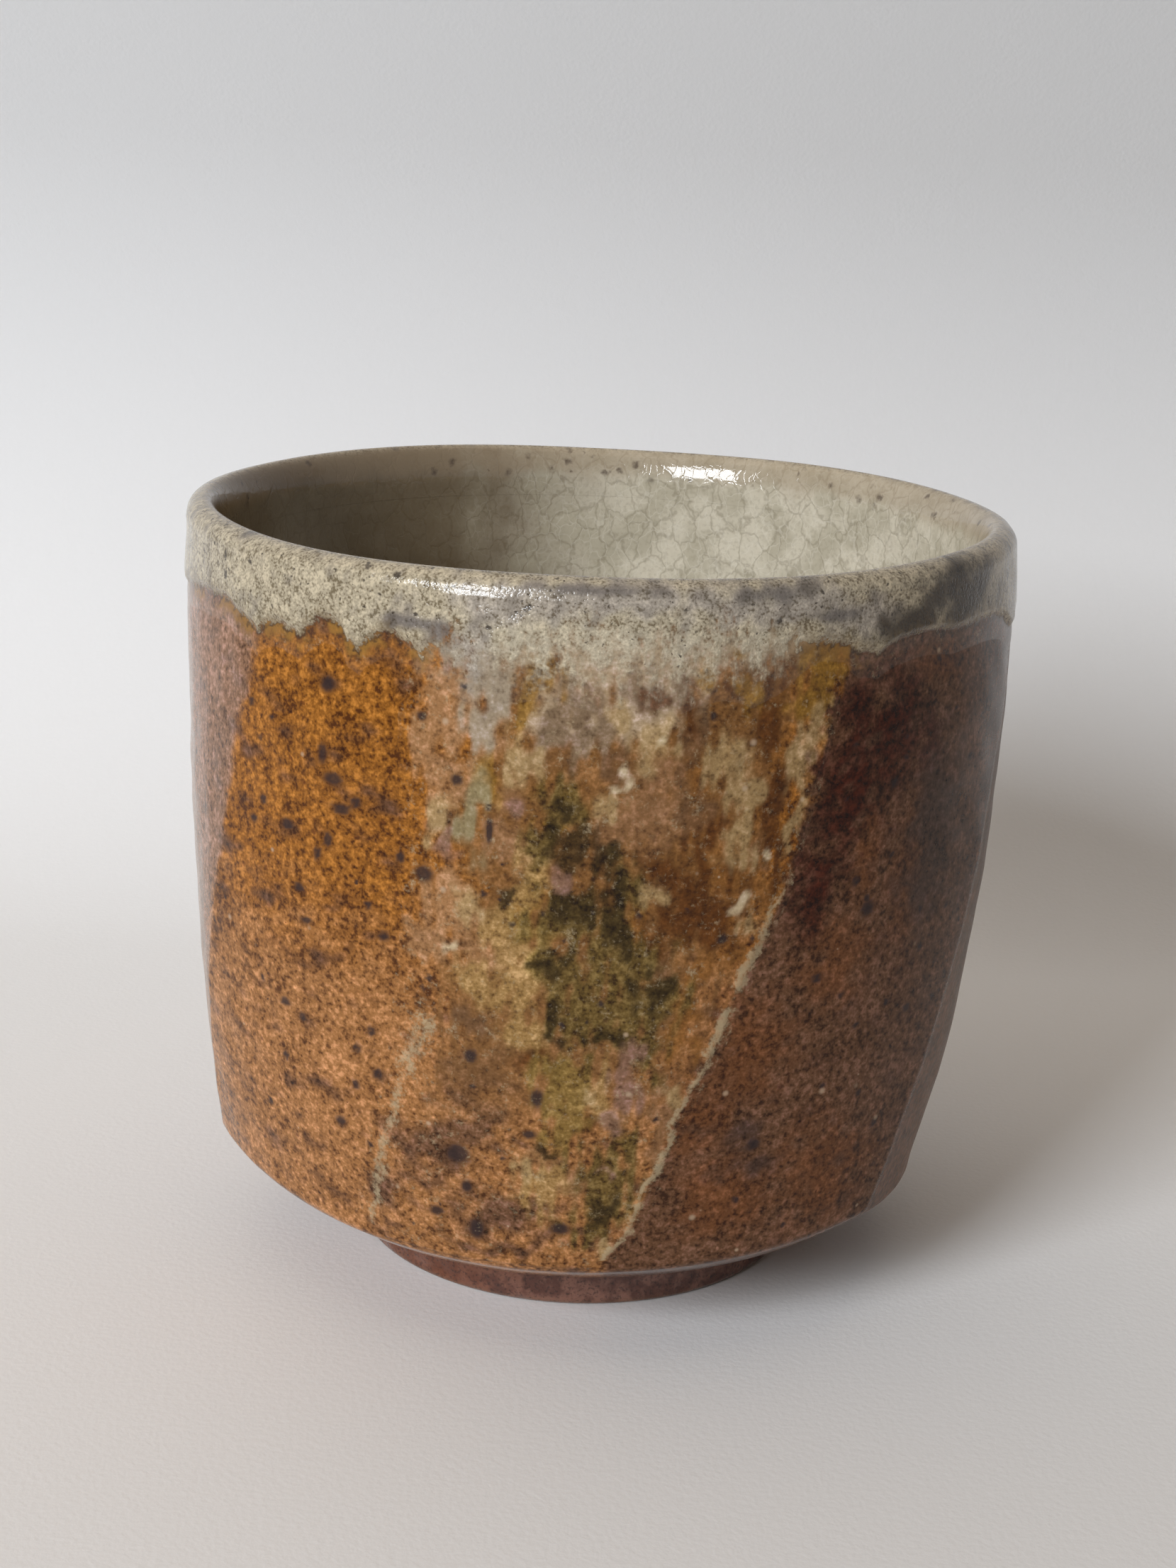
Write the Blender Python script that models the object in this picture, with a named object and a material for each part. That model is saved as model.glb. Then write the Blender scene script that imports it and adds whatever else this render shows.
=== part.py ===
"""Tea bowl: a thrown stoneware bowl with three pared faces, a turned foot ring and three coats of glaze.

Metres, +Z up. The origin is the centre of the circle that the foot ring stands on, and -Y is the front.
Angles turn counter-clockwise seen from above, from +X.
"""
import math

import bmesh
import bpy
import numpy as np

# Driving dimensions of the pared wall
BOWL_HEIGHT = 0.1032
RIM_RADIUS = 0.0547
BELLY_RADIUS = 0.0565
BELLY_HEIGHT = 0.072
BELLY_FULLNESS = 2.2
EDGE_RADIUS = 0.0516
EDGE_HEIGHT = 0.017
LIP_THICKNESS = 0.0030

# The pared faces: each is an arc in plan, centred behind the bowl's axis by the set-back
FACE_COUNT = 3
FACE_SETBACK = 0.009
FACE_FADE = 0.7
FACE_ANGLE = math.radians(-102.5)
FACE_TWIST = math.radians(30)

# Inside, floor and underside
FLOOR_THICKNESS = 0.0065
INNER_CORNER = 0.020
WALL_THICKNESS = 0.005
UNDERSIDE_CURVE = 1.57

# Foot ring
FOOT_RADIUS = 0.0320
FOOT_HEIGHT = 0.0065
FOOT_WIDTH = 0.0065
FOOT_TAPER = 0.0005
FOOT_BEVEL = 0.0008
FOOT_SHELF = 0.001

# Glaze coats
GLAZE_GAP = 0.0003
LINER_THICKNESS = 0.0006
LIP_COAT_THICKNESS = 0.0006
LIP_COAT_INSIDE = 0.006
LIP_COAT_OUTSIDE = 0.0105
SCALLOP_DEPTH = 0.0022
LONG_SCALLOPS = 11
SHORT_SCALLOPS = 17
LONG_SCALLOP_SHARE = 0.6
SHORT_SCALLOP_TURN = 1.0
RUN_THICKNESS = 0.0007
RUN_EDGE_THICKNESS = 0.0002
RUN_SWELL = 0.5
RUN_CLEAR_OF_EDGE = 0.0012
RUN_TOP_LEFT = math.radians(-111)
RUN_TOP_RIGHT = math.radians(-59)
RUN_FOOT_LEFT = math.radians(-123)
RUN_FOOT_RIGHT = math.radians(-84)
RUN_LEFT_CURVE = 0.5

# Facets, in columns round the bowl and rows along each stretch of its profile
COLUMNS = 72
WALL_ROWS = 11
LIP_ROWS = 6
LIP_COAT_ROWS = 3
INNER_ROWS = 6
CORNER_ROWS = 5
UNDERSIDE_ROWS = 3
RUN_COLUMNS = 14
RUN_ROWS = 10
MEETING_STEPS = 20
SHARP_ANGLE = math.radians(32)

# Sizes worked out from the driving dimensions
HALF_FACE = math.pi / FACE_COUNT
LIP_RADIUS = LIP_THICKNESS / 2
WALL_TOP = BOWL_HEIGHT - LIP_RADIUS
FLOOR_HEIGHT = FOOT_HEIGHT + FLOOR_THICKNESS
CORNER_TOP = FLOOR_HEIGHT + INNER_CORNER
UNDERSIDE_START = FOOT_RADIUS + FOOT_SHELF
LIP_COAT_BOTTOM = BOWL_HEIGHT - LIP_COAT_INSIDE
RUN_CLEAR_OF_LIP = GLAZE_GAP + SCALLOP_DEPTH / 3

COLUMN_ANGLES = np.arange(COLUMNS) * math.tau / COLUMNS


def arris_radius(z):
    """Radius at the arrises: full at the belly, drawn in to the rim above and to the lower edge below."""
    below = np.clip((BELLY_HEIGHT - z) / (BELLY_HEIGHT - EDGE_HEIGHT), 0, None)
    above = np.clip((z - BELLY_HEIGHT) / (WALL_TOP - BELLY_HEIGHT), 0, None)
    drawn_in_below = (BELLY_RADIUS - EDGE_RADIUS) * below**BELLY_FULLNESS
    return BELLY_RADIUS - drawn_in_below - (BELLY_RADIUS - RIM_RADIUS) * above**2


def face_share(z):
    """Height as a share of the way from the lower edge (0) to the rim (1)."""
    return np.clip((z - EDGE_HEIGHT) / (WALL_TOP - EDGE_HEIGHT), 0, 1)


def face_angle(z):
    """Direction of the front face's middle, which turns with height because the faces lean."""
    return FACE_ANGLE + FACE_TWIST * face_share(z)


def wall_radius(angle, z):
    """Outside radius: an arc on each face, whose set-back fades until the rim is a true circle."""
    setback = FACE_SETBACK * (1 - face_share(z)) ** FACE_FADE
    arc = np.hypot(arris_radius(z) + setback * math.cos(HALF_FACE), setback * math.sin(HALF_FACE))
    offset = (angle - face_angle(z) + HALF_FACE) % (2 * HALF_FACE) - HALF_FACE
    return -setback * np.cos(offset) + np.sqrt(arc**2 - (setback * np.sin(offset)) ** 2)


def underside_height(radius):
    """Underside: level over the foot, then curling up to the lower edge."""
    reach = np.clip(radius - UNDERSIDE_START, 0, None) / (EDGE_RADIUS - UNDERSIDE_START)
    return FOOT_HEIGHT + (EDGE_HEIGHT - FOOT_HEIGHT) * reach**UNDERSIDE_CURVE


def lower_edge_height(angles_at):
    """Heights where the wall meets the underside, at the angles that a function gives for each height."""
    z = EDGE_HEIGHT
    for _ in range(MEETING_STEPS):
        z = underside_height(wall_radius(angles_at(z), z))
    return z


def arris_columns(z):
    """Angles of the columns at this height, with the arrises on columns of their own."""
    return COLUMN_ANGLES + face_angle(z)


def inner_radius(z):
    """Inside of the wall above its corner: the middle of a face less a wall that thickens downwards."""
    down = np.clip((WALL_TOP - z) / (WALL_TOP - CORNER_TOP), 0, 1)
    thickness = LIP_THICKNESS + (WALL_THICKNESS - LIP_THICKNESS) * down
    return wall_radius(face_angle(z), z) - thickness


def inner_profile(offset=0.0):
    """Radius and height down the inside, from below the lip to the floor, drawn in by an offset."""
    wall = [(inner_radius(z) - offset, z) for z in np.linspace(WALL_TOP, CORNER_TOP, INNER_ROWS + 1)]
    centre = inner_radius(CORNER_TOP) - INNER_CORNER
    size = INNER_CORNER - offset
    turns = np.linspace(0, math.pi / 2, CORNER_ROWS + 1)[1:]
    return wall + [(centre + size * math.cos(a), CORNER_TOP - size * math.sin(a)) for a in turns]


def ring(angle, radius, z):
    """Points of one section."""
    angle, radius, z = np.broadcast_arrays(angle, radius, z)
    return np.stack([radius * np.cos(angle), radius * np.sin(angle), z], axis=-1)


def wall_ring(angle, z, offset=0.0):
    """Section on the outside of the wall, pushed out by an offset."""
    return ring(angle, wall_radius(angle, z) + offset, z)


def lip_rings(offset=0.0):
    """Sections of the round lip, from its outside to its inside."""
    angle = arris_columns(WALL_TOP)
    middle = RIM_RADIUS - LIP_RADIUS
    size = LIP_RADIUS + offset
    turns = np.linspace(0, math.pi, LIP_ROWS + 1)
    return [ring(angle, middle + size * math.cos(a), WALL_TOP + size * math.sin(a)) for a in turns]


def principled(name, colour, roughness):
    """Fired clay or glaze."""
    material = bpy.data.materials.new(name)
    material.use_nodes = True
    shader = material.node_tree.nodes["Principled BSDF"]
    shader.inputs["Base Color"].default_value = (*colour, 1)
    shader.inputs["Roughness"].default_value = roughness
    shader.inputs["Metallic"].default_value = 0.0
    material.diffuse_color = (*colour, 1)
    return material


def loft(name, rings, material, closed_loop=False):
    """Solid skinned over sections of equal count: a loop of sections, or a stack with its ends capped."""
    mesh = bmesh.new()
    sections = [[mesh.verts.new(point) for point in points] for points in rings]
    pairs = list(zip(sections, sections[1:]))
    if closed_loop:
        pairs.append((sections[-1], sections[0]))
    else:
        mesh.faces.new(sections[0])
        mesh.faces.new(sections[-1])
    for first, second in pairs:
        for k, corner in enumerate(first):
            after = (k + 1) % len(first)
            mesh.faces.new((corner, first[after], second[after], second[k]))
    bmesh.ops.recalc_face_normals(mesh, faces=mesh.faces)
    data = bpy.data.meshes.new(name)
    mesh.to_mesh(data)
    mesh.free()
    data.shade_smooth()
    data.set_sharp_from_angle(angle=SHARP_ANGLE)
    data.materials.append(material)
    part = bpy.data.objects.new(name, data)
    bpy.context.scene.collection.objects.link(part)
    return part


def stoneware_body():
    """Wall, lip and floor in one loft: out along the underside, up the faces, over the lip, down inside."""
    edge_z = lower_edge_height(arris_columns)
    edge_angle = arris_columns(edge_z)
    edge_reach = wall_radius(edge_angle, edge_z) - UNDERSIDE_START
    rings = []
    for share in np.linspace(0, 1, UNDERSIDE_ROWS + 1)[:-1]:
        radius = UNDERSIDE_START + share * edge_reach
        rings.append(ring(edge_angle, radius, underside_height(radius)))
    for share in np.linspace(0, 1, WALL_ROWS + 1)[:-1]:
        z = edge_z + share * (WALL_TOP - edge_z)
        rings.append(wall_ring(arris_columns(z), z))
    rings += lip_rings()
    rings += [ring(arris_columns(WALL_TOP), radius, z) for radius, z in inner_profile()[1:]]
    return loft("stoneware_body", rings, principled("stoneware", (0.30, 0.13, 0.05), 0.35))


def foot_ring():
    """Turned ring with bevelled standing edges, just below the level part of the underside."""
    outer = FOOT_RADIUS
    inner = FOOT_RADIUS - FOOT_WIDTH
    top = FOOT_HEIGHT - GLAZE_GAP
    profile = [
        (outer, top),
        (outer - FOOT_TAPER, FOOT_BEVEL),
        (outer - FOOT_TAPER - FOOT_BEVEL, 0),
        (inner + FOOT_BEVEL, 0),
        (inner, FOOT_BEVEL),
        (inner, top),
    ]
    rings = [ring(COLUMN_ANGLES, radius, z) for radius, z in profile]
    return loft("foot_ring", rings, principled("foot_clay", (0.10, 0.035, 0.02), 0.25), closed_loop=True)


def liner_side(offset):
    """Sections of one side of the liner, from its edge below the lip's coat down to the floor."""
    top = LIP_COAT_BOTTOM - GLAZE_GAP
    below = [(radius, z) for radius, z in inner_profile(offset) if z < top]
    profile = [(inner_radius(top) - offset, top)] + below
    return [ring(COLUMN_ANGLES, radius, z) for radius, z in profile]


def liner_glaze():
    """Poured coat on the floor and the inside wall."""
    under = liner_side(GLAZE_GAP)
    over = liner_side(GLAZE_GAP + LINER_THICKNESS)
    return loft("liner_glaze", under[::-1] + over, principled("liner", (0.45, 0.42, 0.36), 0.15))


def lip_coat_edge(angle):
    """Height of the lip coat's ragged edge outside: scallops of two lengths."""
    long_wave = LONG_SCALLOP_SHARE * np.cos(LONG_SCALLOPS * angle)
    short_wave = (1 - LONG_SCALLOP_SHARE) * np.cos(SHORT_SCALLOPS * angle + SHORT_SCALLOP_TURN)
    return BOWL_HEIGHT - LIP_COAT_OUTSIDE + SCALLOP_DEPTH * (long_wave + short_wave)


def lip_coat_side(offset):
    """Sections of one side of the lip's coat: up the outside, over the lip and down the inside."""
    angle = arris_columns(WALL_TOP)
    edge_z = lip_coat_edge(angle)
    shares = np.linspace(0, 1, LIP_COAT_ROWS + 1)[:-1]
    outside = [wall_ring(angle, edge_z + share * (WALL_TOP - edge_z), offset) for share in shares]
    inside = ring(angle, inner_radius(LIP_COAT_BOTTOM) - offset, LIP_COAT_BOTTOM)
    return outside + lip_rings(offset) + [inside]


def lip_glaze():
    """Dipped coat folded over the lip like a saddle."""
    under = lip_coat_side(GLAZE_GAP)
    over = lip_coat_side(GLAZE_GAP + LIP_COAT_THICKNESS)
    material = principled("lip_coat", (0.55, 0.50, 0.42), 0.30)
    return loft("lip_glaze", under + over[::-1], material, closed_loop=True)


def ash_run():
    """Tongue of glaze on the front face, thick in the middle and thin at its sides."""
    across = np.linspace(0, 1, RUN_COLUMNS + 1)
    swell = np.sin(math.pi * across) ** RUN_SWELL
    thickness = RUN_EDGE_THICKNESS + (RUN_THICKNESS - RUN_EDGE_THICKNESS) * swell
    rings = []
    for share in np.linspace(0, 1, RUN_ROWS + 1):
        left = RUN_FOOT_LEFT + (RUN_TOP_LEFT - RUN_FOOT_LEFT) * share**RUN_LEFT_CURVE
        right = RUN_FOOT_RIGHT + (RUN_TOP_RIGHT - RUN_FOOT_RIGHT) * share
        angle = left + (right - left) * across
        bottom = lower_edge_height(lambda z: angle) + RUN_CLEAR_OF_EDGE
        top = lip_coat_edge(angle) - RUN_CLEAR_OF_LIP
        z = bottom + share * (top - bottom)
        under = wall_ring(angle, z, GLAZE_GAP)
        over = wall_ring(angle, z, GLAZE_GAP + thickness)
        rings.append(np.concatenate([over, under[::-1]]))
    return loft("ash_run", rings, principled("ash", (0.42, 0.30, 0.14), 0.25))


for stale in list(bpy.data.objects):
    bpy.data.objects.remove(stale)

bowl = bpy.data.objects.new("tea_bowl", None)
bpy.context.scene.collection.objects.link(bowl)
for piece in (stoneware_body(), foot_ring(), liner_glaze(), lip_glaze(), ash_run()):
    piece.parent = bowl
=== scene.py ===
import math

import bpy
import numpy as np
from mathutils import Matrix, Vector


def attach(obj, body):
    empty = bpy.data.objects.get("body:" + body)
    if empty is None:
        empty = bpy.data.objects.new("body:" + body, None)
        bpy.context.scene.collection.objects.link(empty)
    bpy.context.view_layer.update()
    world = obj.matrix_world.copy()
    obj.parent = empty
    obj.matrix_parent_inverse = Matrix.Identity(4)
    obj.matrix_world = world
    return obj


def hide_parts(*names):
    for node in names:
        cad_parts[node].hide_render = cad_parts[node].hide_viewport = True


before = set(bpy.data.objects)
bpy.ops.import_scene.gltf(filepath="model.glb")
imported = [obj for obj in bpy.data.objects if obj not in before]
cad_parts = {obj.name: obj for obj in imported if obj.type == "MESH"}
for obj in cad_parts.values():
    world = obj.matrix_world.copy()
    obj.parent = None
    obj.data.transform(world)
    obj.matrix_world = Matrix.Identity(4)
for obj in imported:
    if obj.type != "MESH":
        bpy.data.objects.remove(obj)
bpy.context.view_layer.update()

# Stoneware wall. Coarse iron-bearing clay, thrown round on the wheel and then pared with a long blade into
# three broad faces that lean as they rise. The wood kiln gave it its own thin skin of glass: amber where the
# flame reached it, maroon-brown where it did not, grainy and full of iron specks.

BOWL_HEIGHT = 0.1032
RIM_RADIUS = 0.0547
BELLY_RADIUS = 0.0565
BELLY_HEIGHT = 0.072
BELLY_FULLNESS = 2.2
EDGE_RADIUS = 0.0516
EDGE_HEIGHT = 0.017
EDGE_ROUNDING = 0.0008
LIP_THICKNESS = 0.0030
LIP_RADIUS = LIP_THICKNESS / 2
WALL_TOP = BOWL_HEIGHT - LIP_RADIUS
WALL_THICKNESS = 0.005
SHOULDER_SWELL = 0.0004
SHOULDER_HEIGHTS = (0.070, 0.092)
WALL_RIPPLES = ((0.00012, 0.022, 3), (0.00004, 0.006, 4))
FACE_COUNT = 3
HALF_FACE = math.pi / FACE_COUNT
FACE_SETBACK = 0.009
FACE_FADE = 0.7
FACE_ANGLE = math.radians(-102.5)
FACE_TWIST = math.radians(30)
FLOOR_HEIGHT = 0.013
INNER_CORNER = 0.020
CORNER_TOP = FLOOR_HEIGHT + INNER_CORNER
FOOT_RADIUS = 0.032
FOOT_HEIGHT = 0.0065
FOOT_SHELF = 0.001
UNDERSIDE_START = FOOT_RADIUS + FOOT_SHELF
UNDERSIDE_CURVE = 1.57
COLUMNS = 558
ARRIS_CROWDING = 0.3
UNDERSIDE_ROWS = 13
EDGE_ROWS = 6
FACE_ROWS = 136
RIM_ROWS = 8
INNER_ROWS = 9
CORNER_ROWS = 8
MEETING_STEPS = 25


def smooth_step(value, low, high):
    """0 below low, 1 above high, and an S-shaped cubic between them."""
    share = np.clip((value - low) / (high - low), 0, 1)
    return share * share * (3 - 2 * share)


def waves(points, size, seed, count=16):
    """Sum of cosine waves in seeded random directions, of wavelengths near the size: mostly -1 to 1."""
    rng = np.random.default_rng(seed)
    direction = rng.normal(size=(count, 3))
    direction /= np.linalg.norm(direction, axis=1, keepdims=True)
    turns = direction * (math.tau / (size * rng.uniform(0.7, 1.4, (count, 1))))
    return np.cos(points @ turns.T + rng.uniform(0, math.tau, count)).sum(-1) / math.sqrt(count)


def ripple(points, layers):
    """Sum of waves, each layer given as its height, wavelength and seed."""
    return sum(height * waves(points, size, seed) for height, size, seed in layers)


def place(angle, radius, z):
    """Points at these angles, radii and heights."""
    angle, radius, z = np.broadcast_arrays(angle, radius, z)
    return np.stack([radius * np.cos(angle), radius * np.sin(angle), z], -1)


def face_share(z):
    """Height as a share of the way from the lower edge (0) to the rim (1)."""
    return np.clip((z - EDGE_HEIGHT) / (WALL_TOP - EDGE_HEIGHT), 0, 1)


def face_angle(z):
    """Direction of the front face's middle, which turns with height because the faces lean."""
    return FACE_ANGLE + FACE_TWIST * face_share(z)


def pared_radius(angle, z):
    """Radius left by the blade: at the arrises full at the belly, less a power of the depth below it and a
    square of the height above it; between them an arc whose centre is set back behind the bowl's axis."""
    below = np.clip((BELLY_HEIGHT - z) / (BELLY_HEIGHT - EDGE_HEIGHT), 0, None)
    above = np.clip((z - BELLY_HEIGHT) / (WALL_TOP - BELLY_HEIGHT), 0, None)
    arris = BELLY_RADIUS - (BELLY_RADIUS - EDGE_RADIUS) * below**BELLY_FULLNESS
    arris = arris - (BELLY_RADIUS - RIM_RADIUS) * above**2
    setback = FACE_SETBACK * (1 - face_share(z)) ** FACE_FADE
    arc = np.hypot(arris + setback * math.cos(HALF_FACE), setback * math.sin(HALF_FACE))
    offset = (angle - face_angle(z) + HALF_FACE) % (2 * HALF_FACE) - HALF_FACE
    return -setback * np.cos(offset) + np.sqrt(arc**2 - (setback * np.sin(offset)) ** 2)


def wall_radius(angle, z):
    """Pared radius plus a slight swell towards the shoulder and about 0.1 mm of unevenness from handwork."""
    radius = pared_radius(angle, z)
    points = place(angle, radius, z)
    return radius + SHOULDER_SWELL * smooth_step(z, *SHOULDER_HEIGHTS) + ripple(points, WALL_RIPPLES)


def underside_height(radius):
    """Underside: level over the foot, then curling up to the lower edge by a power of the reach."""
    reach = np.clip(radius - UNDERSIDE_START, 0, None) / (EDGE_RADIUS - UNDERSIDE_START)
    return FOOT_HEIGHT + (EDGE_HEIGHT - FOOT_HEIGHT) * reach**UNDERSIDE_CURVE


def lower_edge(angles_at):
    """Height where the wall meets the underside, found by going back and forth between the two surfaces."""
    z = EDGE_HEIGHT
    for _ in range(MEETING_STEPS):
        z = underside_height(pared_radius(angles_at(z), z))
    return z


def inner_radius(z):
    """Inside of the clay wall: the middle of a face less a wall that thickens downwards."""
    down = np.clip((WALL_TOP - z) / (WALL_TOP - CORNER_TOP), 0, 1)
    return pared_radius(face_angle(z), z) - LIP_THICKNESS - (WALL_THICKNESS - LIP_THICKNESS) * down


def round_columns():
    """Angles round the bowl measured from the front face's middle, crowded by a sine towards the arrises."""
    turn = np.arange(COLUMNS) * FACE_COUNT / COLUMNS
    within = turn % 1 * 2 - 1
    crowded = within + ARRIS_CROWDING * np.sin(math.pi * within) / math.pi
    return (2 * np.floor(turn) + crowded) * HALF_FACE


def add_piece(name, vertices, polygons, fields, material):
    """Smooth mesh object from point, quad and triangle arrays. A field of one value for each point becomes a
    float attribute, and a field of four becomes a colour."""
    mesh = bpy.data.meshes.new(name)
    corners = np.concatenate([faces.ravel() for faces in polygons])
    counts = np.concatenate([np.full(len(faces), faces.shape[1]) for faces in polygons])
    mesh.vertices.add(len(vertices))
    mesh.vertices.foreach_set("co", vertices.ravel())
    mesh.loops.add(len(corners))
    mesh.loops.foreach_set("vertex_index", corners)
    mesh.polygons.add(len(counts))
    mesh.polygons.foreach_set("loop_start", np.concatenate([[0], np.cumsum(counts)[:-1]]))
    mesh.update(calc_edges=True)
    mesh.shade_smooth()
    for name_of, values in fields.items():
        kind, key = ("FLOAT", "value") if values.size == len(vertices) else ("FLOAT_COLOR", "color")
        mesh.attributes.new(name_of, kind, "POINT").data.foreach_set(key, values.ravel())
    mesh.materials.append(material)
    piece = bpy.data.objects.new(name, mesh)
    bpy.context.scene.collection.objects.link(piece)
    return piece


def add_shell(name, points, fields, material, tube=False):
    """Closed surface over a grid that wraps round the bowl; its rows loop like a tube or end in two poles."""
    rows, columns, _ = points.shape
    corner = np.arange(rows * columns).reshape(rows, columns)
    low, high = (corner, np.roll(corner, -1, 0)) if tube else (corner[:-1], corner[1:])
    quads = np.stack([low, np.roll(low, -1, 1), np.roll(high, -1, 1), high], -1).reshape(-1, 4)
    if tube:
        return add_piece(name, points.reshape(-1, 3), [quads], fields, material)
    first, last = corner[0], corner[-1]
    start = np.stack([np.full(columns, corner.size), np.roll(first, -1), first], -1)
    end = np.stack([np.full(columns, corner.size + 1), last, np.roll(last, -1)], -1)
    vertices = np.concatenate([points.reshape(-1, 3), points[[0]].mean(1), points[[-1]].mean(1)])
    ends = {n: np.stack([f[0].mean(0), f[-1].mean(0)]) for n, f in fields.items()}
    fields = {n: np.concatenate([f.ravel(), ends[n].ravel()]) for n, f in fields.items()}
    return add_piece(name, vertices, [quads, start, end], fields, material)


def fired(red, green, blue, grain_share=1.0):
    """A colour as read from a screen, 0 to 255, made linear; the fourth value is its graininess."""
    share = np.array([red, green, blue]) / 255
    linear = np.where(share <= 0.04045, share / 12.92, ((share + 0.055) / 1.055) ** 2.4)
    return (*linear.tolist(), grain_share)


def node(tree, kind, values=None, **settings):
    """One node with its properties set and its inputs filled: a socket is linked, a plain value is set."""
    made = tree.nodes.new(kind)
    for name, value in settings.items():
        setattr(made, name, value)
    for name, value in (values or {}).items():
        if isinstance(value, bpy.types.NodeSocket):
            tree.links.new(value, made.inputs[name])
        else:
            made.inputs[name].default_value = value
    return made


def calc(tree, operation, first, second=0.0):
    """Sum, product or other operation on two values."""
    return node(tree, "ShaderNodeMath", {0: first, 1: second}, operation=operation).outputs[0]


def times(tree, first, second):
    """Product of two values."""
    return calc(tree, "MULTIPLY", first, second)


def ramp(tree, value, low, high, start=0.0, end=1.0):
    """Smooth step of a value from start at low to end at high."""
    values = {"Value": value, "From Min": low, "From Max": high, "To Min": start, "To Max": end}
    return node(tree, "ShaderNodeMapRange", values, interpolation_type="SMOOTHSTEP").outputs[0]


def over(tree, share, under, upper, blend="MIX"):
    """One colour laid over another by a share."""
    values = {0: share, 6: under, 7: upper}
    return node(tree, "ShaderNodeMix", values, data_type="RGBA", blend_type=blend).outputs[2]


def tint(tree, colour, share, strength, glaze):
    """A glaze laid over a colour by a share times a strength."""
    return over(tree, times(tree, share, strength), colour, glaze)


def toned(tree, colour, share, red, green, blue):
    """A colour multiplied by these three factors, by a share."""
    return over(tree, share, colour, (red, green, blue, 1.0), "MULTIPLY")


def field(tree, name):
    """The piece's own attribute of this name."""
    return node(tree, "ShaderNodeAttribute", attribute_name=name).outputs["Fac"]


def millimetres(tree, stretch=(1, 1, 1), shift=0.0):
    """Object coordinates in millimetres, divided by a stretch along each axis and moved by a shift."""
    where = node(tree, "ShaderNodeTexCoord").outputs["Object"]
    scale = tuple(1000 / s for s in stretch)
    values = {0: where, 1: scale, 2: (shift, 0.7 * shift, 0.4 * shift)}
    return node(tree, "ShaderNodeVectorMath", values, operation="MULTIPLY_ADD").outputs[0]


def grain(tree, where, size, detail=2.0, rough=0.5):
    """Fractal noise, 0 to 1 about 0.5, with features of this size in the units of where."""
    values = {"Vector": where, "Scale": 1 / size, "Detail": detail, "Roughness": rough}
    return node(tree, "ShaderNodeTexNoise", values).outputs[0]


def pushed(tree, where, scale, push, start=None):
    """Coordinates, or another start, moved by the colour of a noise over them times a push in mm."""
    shove = node(tree, "ShaderNodeTexNoise", {"Vector": where, "Scale": scale}).outputs[1]
    values = {0: shove, 1: (push, push, push), 2: where if start is None else start}
    return node(tree, "ShaderNodeVectorMath", values, operation="MULTIPLY_ADD").outputs[0]


def specks(tree, where, spacing, radius, kept, softness):
    """Specks: 1 near the centres of a kept share of random cells, within a radius that varies by cell."""
    cells = node(tree, "ShaderNodeTexVoronoi", {"Vector": where, "Scale": 1 / spacing})
    chance = node(tree, "ShaderNodeSeparateColor", {0: cells.outputs["Color"]})
    size = ramp(tree, chance.outputs[0], 0.0, 1.0, 0.35 * radius / spacing, radius / spacing)
    inside = calc(tree, "DIVIDE", cells.outputs["Distance"], size)
    spot = ramp(tree, inside, 1.0, 1.0 - softness)
    return times(tree, spot, calc(tree, "LESS_THAN", chance.outputs[1], kept))


def patchy(tree, share, noise, spread, edge):
    """A zone's share made ragged: noise of this spread is added, and the sum cut softly at a half."""
    push = times(tree, calc(tree, "SUBTRACT", noise, 0.5), spread)
    return ramp(tree, calc(tree, "ADD", share, push), 0.5 - edge, 0.5 + edge)


def new_skin(name):
    """Node group that gives a glaze's colour, roughness and height."""
    tree = bpy.data.node_groups.new(name, "ShaderNodeTree")
    tree.interface.new_socket("Color", in_out="OUTPUT", socket_type="NodeSocketColor")
    tree.interface.new_socket("Roughness", in_out="OUTPUT", socket_type="NodeSocketFloat")
    tree.interface.new_socket("Height", in_out="OUTPUT", socket_type="NodeSocketFloat")
    return tree


def given(tree, colour, rough, height):
    """The skin itself, once these three are joined to its outputs."""
    node(tree, "NodeGroupOutput", {"Color": colour, "Roughness": rough, "Height": height})
    return tree


def skin_material(name, skin, relief, gloss):
    """Glazed surface with the colour, roughness and bump of a skin; the relief is in metres."""
    material = bpy.data.materials.new(name)
    material.use_nodes = True
    tree = material.node_tree
    source = node(tree, "ShaderNodeGroup", node_tree=skin)
    values = {"Height": source.outputs["Height"], "Distance": relief, "Strength": 1.0}
    bump = node(tree, "ShaderNodeBump", values)
    glass = tree.nodes["Principled BSDF"]
    glass.inputs["Specular IOR Level"].default_value = gloss
    tree.links.new(source.outputs["Color"], glass.inputs["Base Color"])
    tree.links.new(source.outputs["Roughness"], glass.inputs["Roughness"])
    tree.links.new(bump.outputs["Normal"], glass.inputs["Normal"])
    return material


MEAN_RADIUS = 55.0


def across(angle):
    """Distance round the wall from the middle of the front, in mm at the mean radius; positive is right."""
    return MEAN_RADIUS * ((angle + 1.5 * math.pi) % math.tau - math.pi)


def on_wall(angle, z):
    """Points at the mean radius, by angle and height in mm."""
    return place(angle, MEAN_RADIUS, z)


def angles_of(points):
    """Angle of each point round the bowl's axis."""
    return np.arctan2(points[..., 1], points[..., 0])


def dabs(u, z, marks):
    """Largest of soft dabs, each a bell given as across, height, half width and half height in mm."""
    share = np.zeros(np.broadcast(u, z).shape)
    for centre, height, width, tall in marks:
        share = np.maximum(share, np.exp(-(((u - centre) / width) ** 2) - ((z - height) / tall) ** 2))
    return share


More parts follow.
